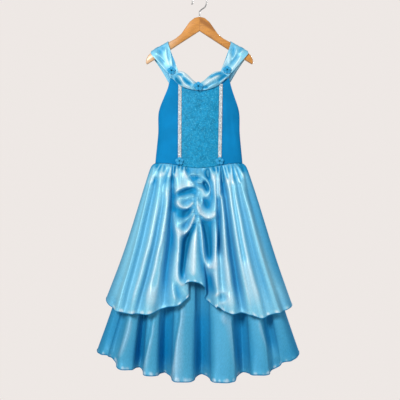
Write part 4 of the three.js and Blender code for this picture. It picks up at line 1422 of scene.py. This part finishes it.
class DRESS_OT_overskirt(bpy.types.Operator):
    """Hang the gathered satin overskirt, ruched up at the centre front"""

    bl_idname = "dress.overskirt"
    bl_label = "Overskirt"

    def execute(self, context):
        sizes, colours = context.scene.dress_sizes, context.scene.dress_colours
        light, deep = tuple(colours.satin), tuple(colours.satin_painted_shade)
        # painted_highlight is how near white the painted crest highlights are
        look = {"roughness": 0.4, "metallic": 0.14, "painted_highlight": 0.5, "gloss": 0.35}
        finish = satin("Light satin", light, deep, **look)
        thread = hem_thread("Hem thread", deep)
        self.front(sizes, finish, thread)
        self.back(sizes, finish, thread)
        return {"FINISHED"}

    def front(self, sizes, material, thread):
        drape = hung(RUCHING + SKIRT_PULLS, low=(-300, -970), high=(300, -495), cell=1.3, spread=26)
        low, high = (-190, -610), (190, -495)
        waist_pleats = hung(WAIST_PLEATS, low, high, cell=0.9, spread=9, softening=4)

        def relief(x, z, t, u):
            drop = t * OVERSKIRT_LENGTH
            up = OVERSKIRT_LENGTH - drop
            below_seam = np.minimum(1, t / 0.03)
            ruched = smoothstep(-np.abs(x + 8), -80, -60)
            pulled = net_height(drape, x, z) * below_seam
            small_pleats = gathers(along_waist(x), drop, seed=21, count=40, height=1.6)
            pleats = net_height(waist_pleats, x, z) + small_pleats * (1 - 0.6 * ruched)
            along = along_hem(x)
            curls = 1.3 * np.sin(2 * math.pi * 31 * along + 5 * np.sin(9 * along))
            ripple = spot(up, 0, 14) * (curls + 1.5 * drift(along, t, seed=5, across=24, down=1))
            sway = 2 * t * drift(u, t, seed=8, across=5, down=1.5)
            lift = pulled + self.puckers(x, z) * below_seam + pleats + sway + ripple
            # Painted shade and light: lighter on the waist's pleats and darker between them, darker just
            # below the waist seam, and darker over the ruching with lighter pulled crests
            tone = 0.07 * pleats - 0.16 * spot(drop, 0, 55) + ruched * (0.02 * pulled - 0.11)
            return lift, tone + painted_hem_highlights(along, up, seed=78)

        grid, shade = skirt_grid(
            OVERSKIRT_FRONT,
            OVERSKIRT_FRONT_CUT,
            (216, 222),
            skirt_waist(0),
            "front",
            relief,
            fine=("left deep hollow", "right inner ridge"),
            arch=ARCH,
        )
        piece = cloth("overskirt_cloth_front", grid, sizes.satin, material, "overskirt_front", shade)
        hem = rolled_hem("overskirt_hem_front", grid[-1], sizes.hem_roll, thread)

    def puckers(self, x, z):
        """Small tight puckers along the gathered line."""
        rng = np.random.default_rng(4)
        total = np.zeros_like(x)
        for k in range(PUCKERS):
            height = PUCKER_TOP_Z - PUCKER_STEP * k
            for side in (-1, 1):
                reach = side * rng.uniform(8, 18)
                lift = height + rng.uniform(-4, 4)
                line = (
                    (PUCKER_X, height),
                    (PUCKER_X + reach * 0.5, lift + 1),
                    (PUCKER_X + reach, lift - side * 2),
                )
                total += crease_relief([Crease(line, 2.3, rng.choice([-3, 1.4]))], x, z)
        return total

    def back(self, sizes, material, thread):
        folds = back_folds(OVERSKIRT_FRONT, ridges=8, middle_out=42, hem_out=54, depth=10, hem_z=-943)

        def relief(x, z, t, u):
            drop = t * OVERSKIRT_LENGTH
            curls = 1.5 * np.sin(2 * math.pi * 27 * u + 4 * np.sin(7 * u))
            pleats = gathers(along_waist(x), drop, seed=31, count=44, height=4)
            sway = 3 * t * drift(u, t, seed=18, across=6, down=1.5)
            # The pleats' painted tone: lighter on the pleats and darker between them
            return pleats + sway + spot(drop, OVERSKIRT_LENGTH, 14) * curls, 0.05 * pleats

        waist = skirt_waist(0, "back")
        grid, shade = skirt_grid(folds, OVERSKIRT_BACK_CUT, (110, 190), waist, "back", relief)
        piece = cloth("overskirt_cloth_back", grid, sizes.satin, material, "overskirt_back", shade)
        hem = rolled_hem("overskirt_hem_back", grid[-1], sizes.hem_roll, thread)


class DRESS_OT_underskirt(bpy.types.Operator):
    """Hang the fluted satin underskirt"""

    bl_idname = "dress.underskirt"
    bl_label = "Underskirt"

    def execute(self, context):
        sizes, colours = context.scene.dress_sizes, context.scene.dress_colours
        light, deep = tuple(colours.under), tuple(colours.under_painted_shade)
        look = {"roughness": 0.48, "metallic": 0.14, "painted_highlight": 0.3, "gloss": 0.2}
        finish = satin("Underskirt satin", light, deep, **look)
        thread = hem_thread("Underskirt hem thread", deep)
        back = back_folds(UNDERSKIRT_FRONT, ridges=6, middle_out=35, hem_out=56, depth=24, hem_z=-1128)
        drape = hung(UNDERSKIRT_PULLS, low=(-310, -1145), high=(310, -880), cell=1.6, spread=22)

        def creased(x, z, t, u):
            lift, tone = self.relief(x, z, t, u)
            pulled = np.maximum(-5, net_height(drape, x, z)) * smoothstep(t, 0.3, 0.55)
            # Painted highlight on the pulled flute edges
            return lift + pulled, tone + 0.012 * np.maximum(0, pulled)

        for face, folds, cut, size, relief, wide, area in (
            ("front", UNDERSKIRT_FRONT, UNDERSKIRT_FRONT_CUT, (150, 300), creased, 1.15, 0.46),
            ("back", back, UNDERSKIRT_BACK_CUT, (90, 220), self.relief, 0.85, 0.4),
        ):
            grid, shade = skirt_grid(folds, cut, size, skirt_waist(UNDERSKIRT_INSET, face), face, relief)
            name = f"underskirt_cloth_{face}"
            piece = cloth(name, grid, sizes.satin, finish, f"underskirt_{face}", shade)
            hem = rolled_hem(f"underskirt_hem_{face}", grid[-1], sizes.hem_roll, thread)
        return {"FINISHED"}

    def relief(self, x, z, t, u):
        up = (1 - t) * UNDERSKIRT_LENGTH
        curls = 1.2 * np.sin(2 * math.pi * 40 * u + 5 * np.sin(8 * u)) + 2.5
        sway = 4 * t**2 * drift(u, t, seed=28, across=7, down=2)
        # The hem's painted highlights go in as tone
        return sway + spot(up, 0, 12) * curls, painted_hem_highlights(along_hem(x), up, seed=77)


class DRESS_OT_straps(bpy.types.Operator):
    """Hang the satin shoulder straps over the hanger's bar"""

    bl_idname = "dress.straps"
    bl_label = "Shoulder straps"

    def execute(self, context):
        sizes = context.scene.dress_sizes
        material = bpy.data.materials["Light satin"]
        for name, side in SIDES.items():
            grid, shade = self.grid(side)
            piece = cloth(f"strap_cloth_{name}", grid, sizes.satin, material, f"strap_{name}", shade)
        return {"FINISHED"}

    def grid(self, side):
        t = np.linspace(0, 1, 130)
        share = np.linspace(0, 1, 52)[None, :]
        outer = spline([(p.outer_x, p.y, p.outer_z) for p in STRAP], t)[:, None]
        inner = spline([(p.inner_x, p.y, p.inner_z) for p in STRAP], t)[:, None]
        grid = outer + (inner - outer) * share[..., None]
        t = t[:, None]
        grid[..., 0] *= side
        left, right = sorted((60 * side, 150 * side))
        net = hung(STRAP_PULLS[side], low=(left, -250), high=(right, -130), cell=0.8, spread=9)
        front = smoothstep(t, 0.5, 0.56)
        folds = net_height(net, grid[..., 0], grid[..., 2]) * front
        folds = folds + 2.2 * drift(share, t, seed=61 + side, across=4, down=1.5) * (1 - front)
        over = 1 - smoothstep(np.abs(t - 0.5), 0.04, 0.12)
        lift = np.maximum(0, 1.4 + folds) * (1 - over) + 0.3
        on_bar = 1 - smoothstep(np.abs(t - 0.5), 0.26, 0.45)
        bend = on_bar * BAR_BEND * (np.abs(grid[..., 0]) / BAR_HALF_SPAN) ** 1.5
        grid[..., 1] += np.where(t < 0.5, lift, -lift) - bend
        grid[..., 2] += over * (0.6 + 0.4 * np.cos(2 * math.pi * 5 * share))
        grid[..., 2] += 2.6 * spot(share, 0.3, 0.12) * spot(t, 0.5, 0.06)
        # Painted shade and light: the right strap a little lighter, darker where the strap lies over the bar
        # and in its tuck, lighter on its back half and on its folds' crests
        painted_tuck_shade = spot(share, 0.34, 0.05) * spot(t, 0.53, 0.035)
        shade = 0.59 + 0.03 * side + folds / 10 - 0.26 * over - 0.5 * painted_tuck_shade + 0.1 * (t < 0.5)
        grid, shade = self.sewn_ends(grid, np.clip(shade, 0, 1))
        return from_outside(side, grid, shade)

    def sewn_ends(self, grid, shade):
        """Run a strap on at both ends: down inside the bodice in front, and over the back panel behind."""
        share = np.linspace(0, 1, grid.shape[1])
        end = STRAP_FRONT_END
        x, z = end["narrowing"] * grid[-1, :, 0], end["outer_z"] - end["slope"] * share
        front = standing(x, bodice_out(x, z) - end["inside"], z)
        end = STRAP_BACK_END
        x, z = end["narrowing"] * grid[0, :, 0], grid[0, :, 2] - end["drop"]
        back = standing(x, bodice_out(x, z, "back") + end["outside"], z, "back")
        step = np.linspace(0, 1, STRAP_END_ROWS + 1)[1:, None, None]
        inward = np.concatenate([step, 1 - (1 - step) ** 2, step], axis=-1)
        front = grid[-1] + (front - grid[-1]) * inward
        back = grid[0] + (back - grid[0]) * inward
        rows = np.ones((STRAP_END_ROWS, 1))
        shade = np.concatenate([rows * shade[0], shade, rows * shade[-1]])
        return np.concatenate([back[::-1], grid, front]), shade


class DRESS_OT_swags(bpy.types.Operator):
    """Drape the satin swags of the neckline"""

    bl_idname = "dress.swags"
    bl_label = "Neckline swags"

    def execute(self, context):
        sizes = context.scene.dress_sizes
        material = bpy.data.materials["Light satin"]
        for name, side in SIDES.items():
            grid, shade = self.grid(side)
            piece = cloth(f"swag_cloth_{name}", grid, sizes.satin, material, f"swag_{name}", shade)
        return {"FINISHED"}

    def grid(self, side):
        down = np.linspace(0, 1, 60)[:, None]
        share = np.linspace(0, 1, 90)
        upper = spline([(p.upper_x, p.upper_z) for p in SWAG], share)[None]
        lower = spline([(p.lower_x, p.lower_z) for p in SWAG], share)[None]
        puff = spline([(p.puff, 0) for p in SWAG], share)[None, :, 0]
        place = upper + (lower - upper) * down[..., None]
        share = share[None, :]
        x = side * (place[..., 0] - GAP / 2) + (CENTRE_X + GAP / 2 + side * 0.15) * share
        z = place[..., 1]
        left, right = sorted((0, 90 * side))
        net = hung(SWAG_PULLS[side], low=(left, -295), high=(right, -222), cell=0.8, spread=9)
        relief = net_height(net, x, z)
        roll = puff * np.sin(math.pi * np.minimum(1, 0.12 + 0.88 * down)) ** 0.8
        out = bodice_out(x, z) + SWAG_OUT + roll + np.maximum(-3.5, relief)
        grid = standing(x, out, z)
        # Painted shade and light: lighter on the crests of its folds and along its upper edge, darker along
        # its lower edge
        shade = np.clip(0.57 + relief / 9 + 0.1 * np.cos(math.pi * down), 0, 1)
        return from_outside(side, grid, shade)


class DRESS_OT_trims(bpy.types.Operator):
    """Sew the sequinned braid over the princess seams"""

    bl_idname = "dress.trims"
    bl_label = "Braid trims"

    def execute(self, context):
        sizes, colours = context.scene.dress_sizes, context.scene.dress_colours
        silver = sequins("Silver sequins", tuple(colours.braid))
        tape = braid_tape("Braid tape", tuple(colours.braid))
        for name, side in SIDES.items():
            t = np.linspace(0, 1, 60)[:, None]
            z = TRIM_TOP_Z + (TRIM_END_Z - TRIM_TOP_Z) * t
            neck, waist = PRINCESS_SEAMS[side]
            x = neck + (waist - neck) * t + np.linspace(-0.5, 0.5, 7)[None, :] * TRIM_WIDTH
            grid = standing(x, bodice_out(x, z) + TRIM_OUT, z)
            cloth(f"braid_tape_{name}", grid, TRIM_THICKNESS, tape, f"trim_{name}")
            self.discs(context, name, grid[:, grid.shape[1] // 2], sizes.sequin, silver)
        return {"FINISHED"}

    def discs(self, context, name, line, size, material):
        """Rows of overlapping sequins. One is modelled, and its copies are set along the tape's middle."""
        bpy.ops.object.select_all(action="DESELECT")
        bpy.ops.mesh.primitive_circle_add(vertices=10, radius=size / 2, fill_type="NGON")
        one = context.object
        bpy.ops.object.mode_set(mode="EDIT")
        bpy.ops.mesh.select_all(action="SELECT")
        bpy.ops.mesh.inset(thickness=size * 0.16, depth=size * 0.07)
        bpy.ops.mesh.inset(thickness=size * 0.12, depth=-size * 0.07)
        bpy.ops.mesh.poke()
        bpy.ops.object.mode_set(mode="OBJECT")
        template = np.array([v.co for v in one.data.vertices]) / MM
        loops = [tuple(p.vertices) for p in one.data.polygons]
        bpy.data.objects.remove(one)
        rng = np.random.default_rng(9)
        points, faces = [], []
        for k in range(SEQUIN_ROWS):
            centre = spline(line, (k + 0.5) / SEQUIN_ROWS)
            for column in (-1, 0, 1):
                place = centre + np.array([column * SEQUIN_STEP, -SEQUIN_OUT, 0])
                tilt = rng.uniform(-SEQUIN_TILT, SEQUIN_TILT, 2)
                turned = np.stack([template[:, 0], -template[:, 2], template[:, 1]], axis=-1)
                turned[:, 1] += tilt[0] * turned[:, 0] + (tilt[1] - SEQUIN_LEAN) * turned[:, 2]
                start = len(points) * len(template)
                points.append(turned + place)
                faces += [tuple(start + i for i in loop) for loop in loops]
        mesh = bpy.data.meshes.new(f"sequins_{name}")
        mesh.from_pydata((np.concatenate(points) * MM).tolist(), [], faces)
        new_piece(f"sequins_{name}", mesh, material, thickness=SEQUIN_THICKNESS)


class DRESS_OT_rosettes(bpy.types.Operator):
    """Wind the ribbon rosettes"""

    bl_idname = "dress.rosettes"
    bl_label = "Rosettes"

    def execute(self, context):
        material = ribbon("Satin ribbon", tuple(context.scene.dress_colours.ribbon))
        for row in ROSETTES:
            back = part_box(row.node)[1][1] / MM
            grid, painted_petal_shade = self.grid(row, back)
            cloth(row.node + "_ribbon", grid, RIBBON_THICKNESS, material, row.node, painted_petal_shade)
        return {"FINISHED"}

    def grid(self, row, back):
        """A ribbon wound outwards from a tight bud, with the painted shade kept at each point. Its upper edge
        flares into petal lobes, lower by each turn.
        """
        angle = np.linspace(0, 2 * math.pi * ROSETTE_TURNS, 240)[None, :]
        wound = angle / angle.max()
        up = np.linspace(0, 1, 9)[:, None]
        petal = np.abs(np.sin(2.5 * angle + 0.7)) ** 0.7
        inner = row.radius * 0.42 * smoothstep(wound, 0.25, 1)
        outer = row.radius * (0.24 + 0.82 * wound) * (0.78 + 0.26 * petal)
        reach = inner + (outer - inner) * up**1.7
        low = 0.4 + 0.12 * row.depth * (1 - wound)
        high = row.depth * (0.96 - 0.48 * wound) * (0.84 + 0.16 * petal)
        height = low + (high - low) * np.sin(up * math.pi / 2)
        x = row.x + reach * np.cos(angle)
        z = row.z + reach * np.sin(angle)
        grid = standing(x, height - back, z)
        # Painted shade and highlights: lighter up the flared edge and on each petal, darker down in the tight
        # inner turns
        return grid, (0.2 + 0.8 * up) * (0.6 + 0.4 * petal) * (0.4 + 0.6 * smoothstep(wound, 0, 0.35))


class DRESS_OT_hanger(bpy.types.Operator):
    """Finish the wooden hanger and its wire hook"""

    bl_idname = "dress.hanger"
    bl_label = "Hanger"

    def execute(self, context):
        sizes, colours = context.scene.dress_sizes, context.scene.dress_colours
        wood = varnished_wood("Varnished wood", tuple(colours.wood), tuple(colours.wood_dark))
        self.bar(context, wood)
        self.hook(context, sizes.wire, bright_wire("Hook wire"))
        return {"FINISHED"}

    def bar(self, context, material):
        """The bar is a merged copy of its node, shaded smooth where its faces meet at gentle angles."""
        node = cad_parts["hanger_bar"]
        mesh = node.data.copy()
        mesh.name = "bar_wood"
        shape = bmesh.new()
        shape.from_mesh(mesh)
        bmesh.ops.remove_doubles(shape, verts=shape.verts, dist=1e-6)
        bmesh.ops.dissolve_limit(shape, angle_limit=math.radians(1), verts=shape.verts, edges=shape.edges)
        shape.to_mesh(mesh)
        shape.free()
        mesh.materials.clear()
        piece = new_piece("bar_wood", mesh, material, "hanger_bar")
        bpy.ops.object.select_all(action="DESELECT")
        piece.select_set(True)
        context.view_layer.objects.active = piece
        bpy.ops.object.shade_smooth_by_angle(angle=math.radians(50))

    def hook(self, context, wire, material):
        """The hook is a wire bent along its own line."""
        radius = HOOK_INSIDE + wire / MM / 2
        centre_z = -radius + wire / MM / 2
        turns = [math.radians(degrees) for degrees in range(-12, 193, 12)]
        bow = [(radius * math.cos(turn), centre_z + radius * math.sin(turn)) for turn in turns]
        line = spline([*HOOK_STEM, *bow, HOOK_TIP], np.linspace(0, 1, 120))
        bpy.ops.object.select_all(action="DESELECT")
        bpy.ops.curve.primitive_nurbs_path_add()
        path = context.object
        path.name = "hook_wire"
        curve = path.data
        curve.splines.clear()
        strand = curve.splines.new("POLY")
        strand.points.add(len(line) - 1)
        for point, (x, z) in zip(strand.points, line):
            point.co = (x * MM, 0, z * MM, 1)
        curve.bevel_depth = wire / 2
        curve.bevel_resolution = 4
        curve.use_fill_caps = True
        bpy.ops.object.convert(target="MESH")
        piece = context.object
        piece.data.materials.clear()
        piece.data.materials.append(material)
        tidy_normals(piece.data)
        bpy.ops.object.shade_smooth()
        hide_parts("hanger_hook")
        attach(piece, "root")


class DRESS_OT_stage(bpy.types.Operator):
    """Set up the pale surroundings, the lights and the camera"""

    bl_idname = "dress.stage"
    bl_label = "Stage"

    def execute(self, context):
        self.floor(context)
        self.lights(context)
        self.camera(context)
        return {"FINISHED"}

    def floor(self, context):
        """A plain pale floor, below the view of the photograph."""
        bpy.ops.object.select_all(action="DESELECT")
        place = (0, 0, FLOOR_Z)
        bpy.ops.mesh.primitive_circle_add(vertices=96, radius=FLOOR_RADIUS, fill_type="NGON", location=place)
        floor = context.object
        floor.name = "pale_floor"
        bpy.ops.object.transform_apply(location=True)
        material, tree = new_material("Pale floor")
        clouds = texture(tree, "Noise", object_place(tree), 1.5, Detail=3)
        tone = ramp(tree, clouds, (0.3, (0.74, 0.72, 0.70)), (0.7, (0.80, 0.78, 0.76)))
        floor.data.materials.append(finished(material, {"Base Color": tone, "Roughness": 0.8}))

    def lights(self, context):
        world = bpy.data.worlds.new("Studio")
        context.scene.world = world
        world.use_nodes = True
        tree = world.node_tree
        seen = add_node(tree, "Background", {"Color": (*WALL_COLOUR, 1), "Strength": 1})
        around = tree.nodes["Background"]
        connect(tree, around, {"Color": (*SKY_COLOUR, 1), "Strength": SKY_STRENGTH})
        path = add_node(tree, "LightPath")
        sources = {0: path.outputs["Is Camera Ray"], 1: around.outputs[0], 2: seen.outputs[0]}
        either = add_node(tree, "MixShader", sources)
        connect(tree, tree.nodes["World Output"], {"Surface": either.outputs[0]})
        for row in LIGHTS:
            data = bpy.data.lights.new(row.name, "AREA")
            data.shape = "RECTANGLE"
            data.size, data.size_y = row.size
            data.energy = row.power
            data.color = row.colour
            light = bpy.data.objects.new(row.name, data)
            context.scene.collection.objects.link(light)
            light.location = row.place
            light.rotation_euler = self.facing(np.array(row.aim) - np.array(row.place))

    def facing(self, toward):
        """The turn that points a light's -Z along a direction."""
        flat = math.hypot(toward[0], toward[1])
        tilt = math.atan2(flat, -toward[2])
        return (tilt, 0, math.atan2(toward[1], toward[0]) - math.pi / 2)

    def camera(self, context):
        data = bpy.data.cameras.new("Photo view")
        data.lens = VIEW_LENS
        data.sensor_width = VIEW_SENSOR
        camera = bpy.data.objects.new("Photo view", data)
        context.scene.collection.objects.link(camera)
        camera.location = (VIEW_CENTRE[0], -VIEW_DISTANCE, VIEW_CENTRE[1])
        camera.rotation_euler = (math.pi / 2, 0, 0)
        context.scene.camera = camera
        context.scene.view_settings.view_transform = "Standard"


class DRESS_PT_panel(bpy.types.Panel):
    """The dress's pieces, sizes and colours in the sidebar"""

    bl_label = "Princess costume dress"
    bl_idname = "DRESS_PT_panel"
    bl_space_type = "VIEW_3D"
    bl_region_type = "UI"
    bl_category = "Dress"

    def draw(self, context):
        layout = self.layout
        for operator in OPERATORS:
            layout.operator(operator.bl_idname)
        for group in (context.scene.dress_sizes, context.scene.dress_colours):
            box = layout.box()
            for name in group.bl_rna.properties.keys():
                if name not in ("rna_type", "name"):
                    box.prop(group, name)


OPERATORS = (
    DRESS_OT_overskirt,
    DRESS_OT_underskirt,
    DRESS_OT_trims,
    DRESS_OT_rosettes,
    DRESS_OT_bodice,
    DRESS_OT_straps,
    DRESS_OT_swags,
    DRESS_OT_hanger,
    DRESS_OT_stage,
)
CLASSES = (DressSizes, DressColours, *OPERATORS, DRESS_PT_panel)


def register():
    for item in CLASSES:
        bpy.utils.register_class(item)
    bpy.types.Scene.dress_sizes = bpy.props.PointerProperty(type=DressSizes)
    bpy.types.Scene.dress_colours = bpy.props.PointerProperty(type=DressColours)


def unregister():
    del bpy.types.Scene.dress_colours
    del bpy.types.Scene.dress_sizes
    for item in reversed(CLASSES):
        bpy.utils.unregister_class(item)


def main():
    register()
    bpy.ops.dress.overskirt()
    bpy.ops.dress.underskirt()
    bpy.ops.dress.trims()
    bpy.ops.dress.rosettes()
    bpy.ops.dress.bodice()
    bpy.ops.dress.straps()
    bpy.ops.dress.swags()
    bpy.ops.dress.hanger()
    bpy.ops.dress.stage()


if __name__ == "__main__":
    main()
